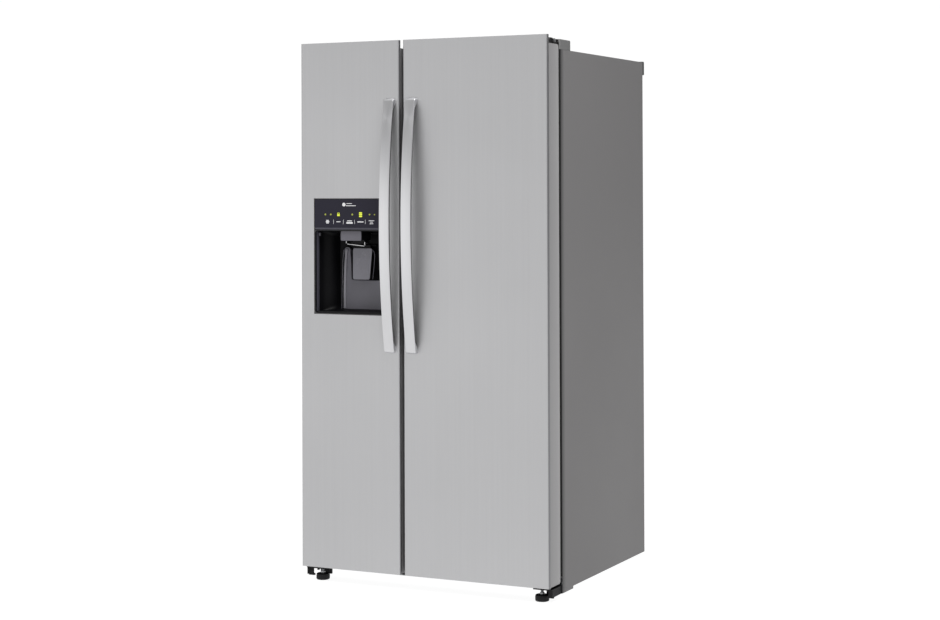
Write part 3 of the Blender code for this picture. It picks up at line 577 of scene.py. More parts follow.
def makeDoorShell(name, node, body, pin):
    x, depth, z = span(node)
    corner, steps, wall = doorShell["corner"], doorShell["steps"], doorShell["wall"]

    def sideView(inset, first):
        r, back = corner - inset, depth[1] - inset
        low, high = z[0] + inset, z[1] - inset
        outline = [(first, high), (first, low)] + arc((back - r, low + r), r, 270, 360, steps)
        if inset:
            outline += [(back + 0.02, low + r), (back + 0.02, high - r)]
        return outline + arc((back - r, high - r), r, 0, 90, steps)

    shell = rawObject(name, shape(prism, sideView(0, depth[0]), "X", *x))
    room = shape(prism, sideView(wall, depth[0] - 0.01), "X", *grown(x, -wall))
    hole = shape(lathe, [(doorShell["pinHole"], 0.0), (doorShell["pinHole"], 2.0)], pin, sides=24)
    carve(shell, room, hole)
    settle(shell, "doorPaint", body, bevel=doorShell["edge"], stands=(node,))


sealShape = {"corner": 0.006, "width": 0.016}


def makeSeal(name, node, body):
    x, depth, z = span(node)
    near, far = depth
    width = sealShape["width"]
    profile = [(0.0015, near), (0.0, near + 0.0012), (0.0016, near + 0.0045), (0.0, near + 0.0078)]
    profile += [(0.0012, near + 0.0110), (0.0, far - 0.0030), (0.0006, far - 0.0008), (0.0022, far)]
    profile += [(width - 0.0022, far), (width - 0.0006, far - 0.0008), (width, far - 0.0030)]
    profile += [(width - 0.0016, near + 0.0095), (width, near + 0.0060), (width - 0.0014, near + 0.0030)]
    profile += [(width, near + 0.0010), (width - 0.0015, near)]
    make(name, shape(rimSweep, x, z, profile, sealShape["corner"]), "sealRubber", body, stands=(node,))


linerShape = {"corner": 0.026, "foot": 0.008, "ridge": 0.012, "sheetBack": 0.0838, "sheetFace": 0.0865,
              "top": 0.118}


def makeDoorLiner(name, node, body, ringX, ringZ, bulge=None, mouth=None):
    x, _, z = span(node)
    sheetBack, sheetFace, top = linerShape["sheetBack"], linerShape["sheetFace"], linerShape["top"]
    foot, ridge, corner = linerShape["foot"], linerShape["ridge"], linerShape["corner"]
    loops = []

    def loop(rangeX, rangeZ, inset, level, radius):
        loops.append(uprightLoop(rangeX, level, rangeZ, inset, max(radius, 0.002), 7))

    loop(x, z, 0.0, sheetBack, 0.004)
    loop(x, z, 0.0, sheetFace - 0.0006, 0.004)
    loop(x, z, 0.0006, sheetFace, 0.004)
    for i in range(6):
        t = math.radians(18 * i)
        loop(ringX, ringZ, foot * math.sin(t) - foot, sheetFace + foot * (1 - math.cos(t)),
             corner + foot * (1 - math.sin(t)))
    for i in range(5):
        t = math.radians(22.5 * i)
        loop(ringX, ringZ, 0.004 * (1 - math.cos(t)) + 0.001, top - 0.004 * (1 - math.sin(t)), corner)
    for i in range(5):
        t = math.radians(22.5 * i)
        loop(ringX, ringZ, ridge - 0.004 * (1 - math.sin(t)), top - 0.004 * (1 - math.cos(t)), corner - ridge)
    for i in range(6):
        t = math.radians(18 * i)
        loop(ringX, ringZ, ridge + 0.001 + foot * (1 - math.cos(t)), sheetFace + foot * (1 - math.sin(t)),
             corner - ridge)
    liner = rawObject(name, shape(loft, loops))
    if bulge:
        rangeZ, back = bulge
        steps = [(0.0, 0.0846), (0.0, back - 0.010), (0.0013, back - 0.005), (0.005, back - 0.0013),
                 (0.010, back)]
        box = shape(loft, [uprightLoop(ringX, level, rangeZ, inset, 0.014) for inset, level in steps])
        room = shape(slab, grown(ringX, -0.0025), (0.07, back - 0.0025), grown(rangeZ, -0.0025))
        carve(liner, box, operation="UNION")
        carve(liner, room, shape(slab, *mouth))
    settle(liner, "linerWhite", body, stands=(node,), angle=40)


capShape = {"corner": 0.008, "proud": 0.0018, "sunk": 0.001, "pinHole": 0.0085}


def makeDoorCaps(word, case, body, pin):
    # moulded end plates let into the top and bottom of a door
    x, depth, z = span(case)
    plan = roundRect(grown(x, -0.006), (depth[0] + 0.003, depth[1] - 0.012), capShape["corner"], 5)
    proud, sunk, hole = capShape["proud"], capShape["sunk"], capShape["pinHole"]
    for place, low, high in (("Top", z[1] - sunk, z[1] + proud), ("Bottom", z[0] - proud, z[0] + sunk)):
        plate = rawObject(word + "DoorCap" + place, shape(prism, plan, "Z", low, high))
        carve(plate, shape(lathe, [(hole, 0.0), (hole, 2.0)], pin, sides=28))
        settle(plate, "darkPlastic", body, bevel=0.0006)


handleShape = {"endDepth": 0.014, "crown": 0.00066, "corner": 0.010, "edge": 0.0014, "skin": 0.0026,
               "stations": 90, "fill": 0.042, "solid": 0.012, "coreInset": 0.0016, "coreShort": 0.015,
               "coreDeep": 0.012}


def makeHandle(word, node, body):
    x, depth, z = span(node)
    middle, half = sum(z) / 2, (z[1] - z[0]) / 2
    centre, wide = sum(x) / 2, (x[1] - x[0]) / 2
    face, landing, door = depth[0] + 0.0009, -handleShape["endDepth"], depth[1]
    corner, edge, count = handleShape["corner"], handleShape["edge"], handleShape["stations"]

    def bow(height):
        return face + (landing - face) * ((height - middle) / half) ** 2

    def ease(t):
        t = min(max(t, 0.0), 1.0)
        return t * t * (3 - 2 * t)

    def backOf(height):
        fromSolid = abs(height - middle) - half + handleShape["fill"]
        fill = ease(fromSolid / (handleShape["fill"] - handleShape["solid"]))
        return mix(bow(height) + handleShape["skin"], door, fill)

    loops = []
    for i in range(count + 1):
        turn = math.cos(math.pi * i / count)
        height = middle - half * turn
        fromEnd = half - abs(height - middle)
        lost = corner - math.sqrt(max(corner**2 - max(corner - fromEnd, 0.0) ** 2, 0.0))
        reachX = max(wide - lost, 0.0012)
        curl = 0.009
        roll = 1 - math.sqrt(max(1 - max(1 - fromEnd / curl, 0.0) ** 2, 0.0))
        front = mix(bow(height), door - 0.0016, roll)
        back = max(backOf(height), front + 0.001)
        radius = min(edge, (back - front) * 0.45, reachX * 0.45)
        crown = handleShape["crown"] * (1 - roll)
        turns = (0.0, 0.4, 0.8, 1.2)
        rounded = [(reachX, back)]
        rounded += [(reachX - radius * (1 - math.cos(t)), front + radius * (1 - math.sin(t))) for t in turns]
        loop = [(-a, b) for a, b in rounded]
        loop += [((reachX - radius) * k / 10, front - crown * (1 - (k / 10) ** 2)) for k in range(-9, 10, 3)]
        loop += rounded[::-1]
        loops.append([at(centre + a, b, height) for a, b in loop])
    make(word + "HandleStrip", shape(loft, loops), "handleSteel", body, stands=(node,), angle=50)

    inset = handleShape["coreInset"]
    loops = []
    reach = half - handleShape["coreShort"]
    for i in range(61):
        height = middle + reach * (2 * i / 60 - 1)
        front = bow(height) + 0.0008
        back = min(bow(height) + handleShape["coreDeep"], door)
        back = max(back, backOf(height) - 0.0004)
        back = min(max(back, front + 0.0005), door)
        flat = roundRect((-wide + inset, wide - inset), (front, back), min(0.0025, (back - front) * 0.3), 3)
        loops.append([at(centre + a, b, height) for a, b in flat])
    # dark core, partly painted shade along the handle's side
    make(word + "HandleCore", shape(loft, loops), "handleCoreShaded", body, angle=50)


def buildDoors():
    housing = span("dispenser_housing")
    opening = (grown(housing[0], 0.0003), (-0.05, 0.05), grown(housing[2], 0.0003))
    pins = {j["name"]: Vector(j["pos_m"]) for j in frame["joints"] if j["name"].endswith("door_hinge")}
    for word, body in (("freezer", "freezer_door"), ("fridge", "fridge_door")):
        pin = pins[word + "_door_hinge"].copy()
        pin.z = 0.0
        makeDoorFace(word + "DoorFace", word + "_door_skin", body, opening if word == "freezer" else None)
        makeDoorShell(word + "DoorShell", word + "_door_case", body, pin)
        makeSeal(word + "DoorSeal", word + "_gasket", body)
        makeDoorCaps(word, word + "_door_case", body, pin)
        makeHandle(word, word + "_handle", body)
    chute = span("ice_chute")[0]
    mouth = (about(sum(chute) / 2, 0.036), (0.05, 0.2), (1.272, 1.347))
    makeDoorLiner("freezerDoorLiner", "freezer_door_liner", "freezer_door", (-0.380, -0.1105), (0.135, 1.660),
                  bulge=((0.869, 1.365), 0.135), mouth=mouth)
    makeDoorLiner("fridgeDoorLiner", "fridge_door_liner", "fridge_door", (-0.027, 0.390), (0.135, 1.660))
    dress("foamFill", "freezer_door_foam", "fridge_door_foam", "cabinet_foam")
    print("doors ready")


buildDoors()


# dispenser
dispenserShape = {"wall": 0.0045, "narrowing": 0.031, "sheet": 0.0018}


def recessLoop(x, z, depth, inset, radius):
    return [at(a, depth, b) for a, b in roundRect(grown(x, -inset), grown(z, -inset * 0.25), radius, 6)]


def buildDispenserTub():
    x, _, z = span("dispenser_housing")
    body = "freezer_door"
    wall = dispenserShape["wall"]
    panelLow = span("control_panel")[2][0]
    mouthX = grown(x, -wall)
    mouthZ = (z[0] + wall, panelLow - 0.0035)
    narrow = dispenserShape["narrowing"]
    stations = [(-0.0004, -0.0016, 0.0075), (0.0004, -0.0006, 0.0070), (0.0016, 0.0, 0.0065),
                (0.030, 0.0, 0.0065)]
    for i in range(1, 9):
        t = i / 8
        ease = t * t * (3 - 2 * t)
        stations.append((mix(0.036, 0.088, t), narrow * ease, 0.0065 + 0.010 * ease))
    stations += [(0.106, narrow, 0.0165), (0.1105, narrow + 0.0015, 0.016), (0.1118, narrow + 0.006, 0.014)]
    inner = [recessLoop(mouthX, mouthZ, level, inset, radius) for level, inset, radius in stations]
    tubPiece = rawObject("dispenserRecess", shape(loft, inner, caps=(False, True)), flip=True)
    thick = tubPiece.modifiers.new("wall", "SOLIDIFY")
    thick.thickness = dispenserShape["sheet"]
    thick.offset = -1.0
    settle(tubPiece, "recessBlack", body, stands=("dispenser_housing",), angle=45)

    surround = rawObject("dispenserSurround", shape(slab, x, (0.0, 0.012), z))
    mouthCut = bmesh.new()
    mouth = roundRect(mouthX, mouthZ, 0.0070, 6)
    loft(mouthCut, [[at(a, level, b) for a, b in mouth] for level in (-0.02, 0.03)])
    panelCut = shape(slab, grown(x, -0.0025), (-0.02, 0.0119), (panelLow - 0.0006, z[1] - 0.0025))
    carve(surround, mouthCut, panelCut)
    settle(surround, "glossBlack", body, bevel=0.0007)
    return mouthX, mouthZ


panelMarks = {"lip": 0.0072, "symbolScale": 1.35, "symbolZ": 1.2135, "markZ": 1.1895, "badgeZ": 1.246,
              "proud": 0.0004, "symbols": (-0.0917, -0.0713, -0.0421, 0.0099, 0.0410, 0.0744, 0.0927),
              "marks": (-0.0835, -0.0422, -0.0003, 0.0405, 0.0815),
              "bars": (-0.0608, -0.0236, 0.0182, 0.0587),
              "blocks": (((0, 0, 0),), ((0.0076, -0.0012, 0.0014),),
                         ((0.0092, 0.0018, 0.0046), (0.0122, -0.0062, -0.0008)), ((0.0112, -0.0018, 0.0016),),
                         ((0.0102, 0.0030, 0.0052), (0.0050, -0.0018, 0.0006), (0.0066, -0.0070, -0.0046)))}


def flatMark(bm, middle, x, z, proud, outline=None):
    points = outline or roundRect((x[0], x[1]), (z[0], z[1]), min(x[1] - x[0], z[1] - z[0]) * 0.3, 2)
    prism(bm, [(middle + a, b) for a, b in points], "Y", -proud, 0.0006)


def ringOutline(centre, radius, sides, turn=0):
    return [(centre[0] + radius * math.cos(turn + 2 * math.pi * i / sides),
             centre[1] + radius * math.sin(turn + 2 * math.pi * i / sides)) for i in range(sides)]


def buildPanel():
    x, _, z = span("control_panel")
    middle = sum(x) / 2
    body = "freezer_door"
    glass = bmesh.new()
    lip = panelMarks["lip"]
    prism(glass, [(0.0002, z[1]), (0.0002, z[0] + lip), (0.0112, z[0] + lip), (0.0112, z[1])], "X", *x)
    make("dispenserPanel", glass, "panelGloss", body, bevel=0.0005, stands=("control_panel",))
    strip = bmesh.new()
    section = [(0.0004, z[0] + lip), (0.0022, z[0] + 0.0008), (0.0112, z[0] + 0.0003), (0.0112, z[0] + lip)]
    prism(strip, section, "X", *x)
    make("dispenserPanelLip", strip, "panelLipAndWallSheen", body, bevel=0.0004)
    proud = panelMarks["proud"]
    level, k = panelMarks["symbolZ"], panelMarks["symbolScale"]
    bright, dim = bmesh.new(), bmesh.new()
    for i, cx in enumerate(panelMarks["symbols"]):
        if i == 2:  # a padlock
            for wide, low, high, off in ((0.0036, -0.0040, 0.0006, 0), (0.0006, 0.0004, 0.0038, -0.0022),
                                         (0.0006, 0.0004, 0.0038, 0.0022), (0.0028, 0.0032, 0.0042, 0)):
                height = (level + low * k, level + high * k)
                flatMark(bright, middle, about(cx + off * k, wide * k), height, proud)
        elif i == 4:  # a tall glass
            for low in (-0.0062, -0.0020, 0.0022):
                height = (level + low * k, level + (low + 0.0034) * k)
                flatMark(bright, middle, about(cx, 0.0042 * k), height, proud)
        else:
            sides = (6, 5, 0, 12, 0, 4, 3)[i]
            flatMark(dim, middle, None, None, proud, ringOutline((cx, level), 0.0024 * k, sides, 0.5))
    make("panelLitSymbols", bright, "litYellow", body)
    make("panelDimSymbols", dim, "litOlive", body)

    ink = bmesh.new()
    low = panelMarks["markZ"]
    for cx, blocks in zip(panelMarks["marks"], panelMarks["blocks"]):
        for half, bottom, top in blocks:
            if half:
                flatMark(ink, middle, about(cx, half), (low + bottom, low + top), proud)
    flake = (panelMarks["marks"][0], low)
    for spot in ringOutline(flake, 0.0046, 6):
        flatMark(ink, middle, None, None, proud, ringOutline(spot, 0.0025, 6))
    flatMark(ink, middle, None, None, proud, ringOutline(flake, 0.0022, 6))
    for bar in panelMarks["bars"]:
        flatMark(ink, middle, about(bar, 0.0005), (low - 0.0068, low + 0.0070), proud)
    badge = panelMarks["badgeZ"]
    flatMark(ink, middle, None, None, proud, ringOutline((-0.0215, badge), 0.0062, 14))
    flatMark(ink, middle, (-0.0115, 0.0085), (badge + 0.0022, badge + 0.0042), proud)
    flatMark(ink, middle, (-0.0135, 0.0235), (badge - 0.0048, badge - 0.0026), proud)
    make("panelPrint", ink, "printWhite", body)


spout = {"halfWidth": 0.039, "front": 0.010, "back": 0.078, "ringTube": 0.0018}


def buildSpout():
    body = "freezer_door"
    x, _, z = span("ice_chute")
    middle = sum(x) / 2
    bottom = z[0]
    top = span("control_panel")[2][0] - 0.0034
    across, along = about(middle, spout["halfWidth"]), (spout["front"], spout["back"])
    steps = ((0.0, top), (0.0, bottom + 0.004), (0.0006, bottom + 0.0015), (0.0022, bottom))
    loops = [flatLoop(across, along, height, inset, 0.006) for inset, height in steps]
    spoutPiece = rawObject("iceSpout", shape(loft, loops))
    well = shape(slab, about(middle, 0.033), (0.0225, 0.0655), (1.05, top - 0.002))
    carve(spoutPiece, well)
    settle(spoutPiece, "recessBlack", body, bevel=0.0006, stands=("ice_chute",))
    plate = bmesh.new()
    outline = roundRect(grown(across, -0.0004), (bottom + 0.0004, top - 0.0002), 0.004, 4)
    prism(plate, outline, "Y", spout["front"] - 0.0022, spout["front"] + 0.0002)
    make("iceSpoutPlate", plate, "guideGrey", body, bevel=0.0007)

    elbow = [(0.020, top), (0.068, top), (0.068, 1.275), (0.138, 1.300), (0.138, z[1]), (0.020, z[1])]
    duct = rawObject("iceDuct", shape(prism, elbow, "X", *about(middle, 0.035)))
    hollow = [(0.022, 1.10), (0.066, 1.10), (0.066, 1.277), (0.16, 1.3105)]
    hollow += [(0.16, z[1] - 0.002), (0.022, z[1] - 0.002)]
    carve(duct, shape(prism, hollow, "X", *about(middle, 0.033)))
    settle(duct, "darkPlastic", body, bevel=0.0006)

    ring = bmesh.new()
    path = [at(middle - 0.0335, 0.0365, bottom - 0.002)]
    for i in range(31):
        turn = math.pi * i / 30
        ahead, out = math.cos(turn), math.sin(turn)
        path.append(at(middle + 0.0015 - 0.035 * ahead, 0.0365 - 0.0095 * out,
                       bottom - 0.0135 + 0.0035 * ahead))
    path += [at(middle + 0.0365, 0.0365, bottom - 0.004)]
    tube(ring, path, spout["ringTube"], 10)
    make("waterSpoutRing", ring, "chromeTrim", body)
    steps = ((0.0, bottom + 0.001), (0.0, bottom - 0.008), (0.003, bottom - 0.011))
    loops = [flatLoop(about(middle, 0.033), (0.027, 0.077), height, inset, 0.012) for inset, height in steps]
    collar = rawObject("iceSpoutCollar", shape(loft, loops))
    carve(collar, shape(slab, about(middle, 0.0325), (0.0215, 0.0665), (1.0, 1.2)))
    settle(collar, "dullBlack", body, bevel=0.0004)


leverShape = {"thickness": 0.0030, "dish": 0.0022, "rows": 22, "columns": 14, "lean": 0.010}


def buildLever():
    body = "lever"
    x, depth, z = span("dispenser_lever")
    middle = sum(x) / 2
    face = depth[0]
    low, high = z[0], 1.1000
    rows, columns = leverShape["rows"], leverShape["columns"]

    def halfAt(height):
        share = (height - low) / (high - low)
        half = mix(0.0315, 0.0365, share)
        for fromEnd in (height - low, high - height):
            if fromEnd < 0.006:
                half -= 0.006 - math.sqrt(max(0.006**2 - (0.006 - fromEnd) ** 2, 0.0))
        return half

    bm = bmesh.new()
    sides = []
    for thick in (0.0, leverShape["thickness"]):
        grid = []
        for i in range(rows + 1):
            height = mix(low, high, 0.5 - 0.5 * math.cos(math.pi * i / rows))
            half = halfAt(height)
            row = []
            for k in range(columns + 1):
                share = 2 * k / columns - 1
                dish = leverShape["dish"] * (1 - share**2)
                lean = leverShape["lean"] * (high - height) / (high - low)
                spot = at(middle + 0.001 + half * share, face + dish * 0.5 + thick - lean, height)
                row.append(bm.verts.new(spot))
            grid.append(row)
        sides.append(grid)
    for grid in sides:
        for near, far in zip(grid, grid[1:]):
            for k in range(columns):
                bm.faces.new((near[k], near[k + 1], far[k + 1], far[k]))
    front, back = sides
    border = [(0, k) for k in range(columns)] + [(i, columns) for i in range(rows)]
    border += [(rows, k) for k in range(columns, 0, -1)] + [(i, 0) for i in range(rows, 0, -1)]
    for (i, k), (p, q) in zip(border, border[1:] + border[:1]):
        bm.faces.new((front[i][k], front[p][q], back[p][q], back[i][k]))
    arm = bmesh.new()
    slab(arm, about(middle, 0.0285), (face + 0.0036, 0.0990), (1.080, 1.1115))
    lathe(arm, [(0.003, -0.0455), (0.003, 0.0455)], at(middle, 0.098, 1.110), "X", 16)
    make("dispenserPaddleArm", arm, "recessBlack", body, bevel=0.0006)
    for side in (-1, 1):
        rib = [(face + 0.0030, 1.080), (face + 0.0075, 1.080), (face - 0.0010, 1.004), (face - 0.0055, 1.004)]
        prism(bm, rib, "X", *about(middle + side * 0.018, 0.0012))
    make("dispenserPaddle", bm, "smokyPlastic", body, bevel=0.0004, stands=("dispenser_lever",), angle=50)


guideShape = {"plateDepth": 0.1000, "halfWidth": 0.078, "rib": 0.0050}


def buildRecessParts(mouthX, mouthZ):
    body = "freezer_door"
    middle = sum(mouthX) / 2
    back = 0.1115
    pad = bmesh.new()
    left, right = about(middle, guideShape["halfWidth"])
    low, padTop, ribTop = mouthZ[0] + 0.0062, 0.9935, 1.1035
    outline = [(right, low), (right, padTop - 0.005)]
    outline += arc((right - 0.005, padTop - 0.005), 0.005, 0, 90, 4)
    outline += [(left + 0.036, padTop)] + arc((left + 0.036, padTop + 0.008), 0.008, 270, 180, 5)[1:]
    outline += [(left + 0.026, 1.060), (left + 0.0235, 1.085)]
    outline += arc((left + 0.012, ribTop - 0.0115), 0.0115, 0, 180, 9)
    outline += [(left + 0.0035, 1.060), (left - 0.0005, 0.99), (left - 0.001, low)]
    prism(pad, outline, "Y", guideShape["plateDepth"], back)
    make("glassGuide", pad, "padGrey", body, bevel=0.0022, segments=3)

    rib = bmesh.new()
    path = smoothPath([at(left + 0.0035, 0.0985, low + 0.004), at(left + 0.0040, 0.0985, 0.97),
                       at(left + 0.0062, 0.0985, 1.04), at(left + 0.0105, 0.0985, 1.088),
                       at(left + 0.0130, 0.0990, 1.096)], 8)
    tube(rib, path, guideShape["rib"], 12)
    make("glassGuideRib", rib, "guideRib", body)

    edge = bmesh.new()
    path = smoothPath([at(middle + 0.0365, 0.089, 0.998), at(middle + 0.0410, 0.088, 1.03),
                       at(middle + 0.0450, 0.0875, 1.070), at(middle + 0.0440, 0.0875, 1.086),
                       at(middle + 0.038, 0.088, 1.0935)], 6)
    tube(edge, path, 0.0010, 8)
    path = smoothPath([at(middle - 0.086, 0.097, low + 0.002), at(middle - 0.0835, 0.096, 0.98),
                       at(middle - 0.080, 0.095, 1.06), at(middle - 0.076, 0.095, 1.094)], 6)
    tube(edge, path, 0.0009, 8)
    make("recessBeads", edge, "smokyPlastic", body)

    # slim lighter strips on the recess side walls are a painted highlight
    for word, side in (("Left", -1), ("Right", 1)):
        strip = bmesh.new()
        wallX = mouthX[0] if side < 0 else mouthX[1]
        flat = roundRect(sorted((wallX - side * 0.0002, wallX - side * 0.0022)), (0.0075, 0.0235), 0.0008, 2)
        loft(strip, [[at(a, b, height) for a, b in flat] for height in grown(mouthZ, -0.003)])
        make("recessWallSheen" + word, strip, "panelLipAndWallSheen", body)
    knob = bmesh.new()
    profile = [(0.0062, 0.0), (0.0062, 0.0022), (0.0052, 0.0036), (0.0034, 0.0044), (0.0012, 0.0047)]
    lathe(knob, profile, at(mouthX[0], 0.0270, mouthZ[1] - 0.0115), "X", 20)
    make("recessSensor", knob, "smokyPlastic", body, angle=50)

    tray = bmesh.new()
    floor = mouthZ[0]
    trayX = grown(mouthX, -0.006)
    slab(tray, trayX, (0.004, 0.034), (floor - 0.0002, floor + 0.0040))
    trayPiece = rawObject("dripTray", tray)
    slots = bmesh.new()
    for i in range(24):
        left = trayX[0] + 0.006 + i * 0.0103
        slab(slots, (left, left + 0.0055), (0.008, 0.030), (floor + 0.0015, floor + 0.01))
    carve(trayPiece, slots)
    settle(trayPiece, "dullBlack", body, bevel=0.0004)


mouthX, mouthZ = buildDispenserTub()
buildPanel()
buildSpout()
buildLever()
buildRecessParts(mouthX, mouthZ)
dress("dullBlack", "chute_flap", bevel=0.0003)
print("dispenser ready")


# hinges, covers, feet
def screwHead(bm, centre, axis, radius):
    high = radius * 0.55
    profile = [(radius, 0.0), (radius, high * 0.35), (radius * 0.85, high * 0.8), (radius * 0.45, high)]
    profile += [(radius * 0.40, high * 0.45)]
    lathe(bm, profile, centre, axis, 16)


hingeShape = {"strap": 0.003, "knuckle": 0.0150, "pinX": 0.427, "pinDepth": 0.055, "armZ": 1.7555}


def buildTopHinge(word, side, cover):
    x, _, z = span("top_hinge_" + word)
    pinX, pinDepth = side * hingeShape["pinX"], hingeShape["pinDepth"]
    arm, strap, knuckle = hingeShape["armZ"], hingeShape["strap"], hingeShape["knuckle"]
    base = z[0] if z[0] > 1.737 else 1.7378
    bend = 0.107
    bm = bmesh.new()
    across = (x[0] + 0.0005, x[1] - 0.0005)
    profile = [(0.182, base), (0.182, base + strap), (bend + strap, base + strap),
               (bend + strap, arm + strap)]
    profile += [(0.056, arm + strap), (0.056, arm), (bend, arm), (bend, base)]
    prism(bm, profile, "X", *across)
    flat = arc((pinX, pinDepth), knuckle, 180, 360, 12)
    nose = [(pinX + knuckle, 0.058), (pinX - knuckle, 0.058)]
    prism(bm, flat + nose, "Z", arm, arm + strap)
    lathe(bm, [(0.005, 1.7365), (0.005, arm + 0.001)], at(pinX, pinDepth, 0), "Z", 20)
    for depthAt in (0.125, 0.165):
        screwHead(bm, at(side * 0.4235, depthAt, base + strap), "Z", 0.0055)
    make("topHingePlate" + cover, bm, "blackEnamel", "cabinet", bevel=0.0006, stands=("top_hinge_" + word,))

    cap = bmesh.new()
    profile = [(knuckle, 1.7586), (knuckle, 1.7665), (0.0140, 1.7695), (0.0115, 1.7714), (0.0070, 1.7722),
               (0.0020, 1.7723)]
    lathe(cap, profile, at(pinX, pinDepth, 0), "Z", 32)
    make("topHingeKnuckle" + cover, cap, "dullBlack", "cabinet", angle=50)
    tab = bmesh.new()
    slab(tab, about(pinX, knuckle), (0.0725, 0.0742), (1.7585, 1.7705))
    make("topHingeTab" + cover, tab, "zincSheet", "cabinet", bevel=0.0004)
    neck = bmesh.new()
    prism(neck, roundRect(about(side * 0.4245, 0.0180), (0.0765, 0.0990), 0.004, 4), "Z", 1.7586, 1.7682)
    make("topHingeNeck" + cover, neck, "dullBlack", "cabinet", bevel=0.0015)


coverShape = {"corner": 0.007, "innerCorner": 0.005, "wall": 0.002}


def buildHingeCover(word, side, tail):
    node = "hinge_cover_" + word
    x, depth, z = span(node)
    wall = coverShape["wall"]
    corner, innerCorner = coverShape["corner"], coverShape["innerCorner"]
    outside = ((0, z[0]), (0, z[1] - 0.004), (0.0004, z[1] - 0.0022), (0.0014, z[1] - 0.0008), (0.0032, z[1]))
    inside = ((wall + 0.0032, z[1] - wall), (wall, z[1] - wall - 0.003), (wall, z[0]))
    loops = [flatLoop(x, depth, height, inset, corner - inset * 0.5, 6) for inset, height in outside]
    loops += [flatLoop(x, depth, height, inset, innerCorner, 6) for inset, height in inside]
    bm = bmesh.new()
    loft(bm, loops, ring=True)
    # a flat lid closes the top
    levels = (z[1] - wall + 0.0001, z[1] - 0.00005)
    lid = [flatLoop(x, depth, height, 0.0030, innerCorner, 6) for height in levels]
    shell = rawObject("hingeCover" + tail, bm)
    carve(shell, shape(loft, lid), operation="UNION")
    notch = shape(slab, sorted((side * 0.4040, side * 0.4430)), (0.09, 0.11), (1.70, 1.7600))
    carve(shell, notch)
    settle(shell, "coverPlastic", "cabinet", stands=(node,), angle=40)
    trim = bmesh.new()
    lathe(trim, [(0.0072, 0.0), (0.0072, 0.0012), (0.0064, 0.0019), (0.0030, 0.0019), (0.0026, 0.0008)],
          at(side * 0.372, 0.150, z[1] - 0.0001), "Z", 24)
    make("hingeCoverScrew" + tail, trim, "darkPlastic", "cabinet", angle=50)


footShape = {"disc": 0.0225, "thread": 0.0049, "pitch": 0.0010}


def buildFoot(word, tail):
    node = "foot_" + word
    body = word + "_foot"
    x, depth, _ = span(node)
    centre = at(sum(x) / 2, sum(depth) / 2, 0.0)
    disc = footShape["disc"]
    bm = bmesh.new()
    rim = [(disc - 0.0045, 0.0), (disc - 0.0018, 0.0008), (disc - 0.0003, 0.003), (disc, 0.0045),
           (disc, 0.0150)]
    lathe(bm, rim, centre, "Z", 64, ripple=0.0007)
    top = bmesh.new()
    cap = [(disc - 0.0010, 0.0148), (disc - 0.0006, 0.0185), (disc - 0.0030, 0.0205)]
    cap += [(0.0085, 0.0205), (0.0085, 0.0215)]
    lathe(top, cap, centre, "Z", 48)
    make("levelFoot" + tail, bm, "dullBlack", body, stands=(node,), angle=30)
    make("levelFootTop" + tail, top, "dullBlack", body, angle=40)
    stem = bmesh.new()
    thread, pitch = footShape["thread"], footShape["pitch"]
    profile = [(thread, 0.0210)]
    for i in range(25):
        height = 0.0220 + i * pitch
        profile += [(thread, height), (thread - 0.0006, height + pitch / 2)]
    profile += [(0.0046, 0.0475), (0.0038, 0.0480)]
    lathe(stem, profile, centre, "Z", 20)
    lathe(stem, [(0.0078, 0.0212), (0.0082, 0.0222), (0.0082, 0.0262), (0.0078, 0.0272)], centre, "Z", 6)
    make("levelFootStem" + tail, stem, "zincSheet", body, angle=40)


rollerShape = {"radius": 0.020, "half": 0.012, "x": 0.360, "depth": 0.760}


def buildRoller(word, side, tail):
    node = "rear_roller_" + word
    body = word + "_roller"
    radius, half = rollerShape["radius"], rollerShape["half"]
    centre = at(side * rollerShape["x"], rollerShape["depth"], radius)
    bm = bmesh.new()
    rim = [(0.0075, half - 0.002), (0.0135, half - 0.002), (0.0150, half), (0.0188, half),
           (radius, half - 0.0014)]
    lathe(bm, [(r, -along) for r, along in rim] + rim[::-1], centre, "X", 40)
    make("rearWheel" + tail, bm, "dullBlack", body, stands=(node,), angle=30)
    axle = bmesh.new()
    lathe(axle, [(0.0030, -0.0200), (0.0030, 0.0200)], centre, "X", 16)
    lathe(axle, [(0.0062, -0.0110), (0.0062, 0.0110)], centre, "X", 20)
    make("rearWheelAxle" + tail, axle, "zincSheet", body, bevel=0.0004)


for word, side, tail in (("left", -1, "Left"), ("right", 1, "Right")):
    buildTopHinge(word, side, tail)
    buildHingeCover(word, side, tail)
    buildFoot(word, tail)
    buildRoller(word, side, tail)
dress("dullBlack", "lower_hinge_right", bevel=0.0007)
for side, tail in ((-1, "Left"), (1, "Right")):
    wing = shape(slab, sorted((side * 0.4402, side * 0.4466)), (0.0985, 0.1035), (0.0185, 0.0440))
    make("lowerHingeWing" + tail, wing, "dullBlack", "cabinet", bevel=0.0005)
hingeLeft = bpy.data.objects.new("lowerHingeLeft", nodes["lower_hinge_left"].data.copy())
bpy.context.scene.collection.objects.link(hingeLeft)
carve(hingeLeft, shape(slab, (-0.4460, -0.4398), (0.046, 0.1005), (0.010, 0.0392)))
settle(hingeLeft, "dullBlack", "cabinet", stands=("lower_hinge_left",), angle=30)
print("hinges and feet ready")


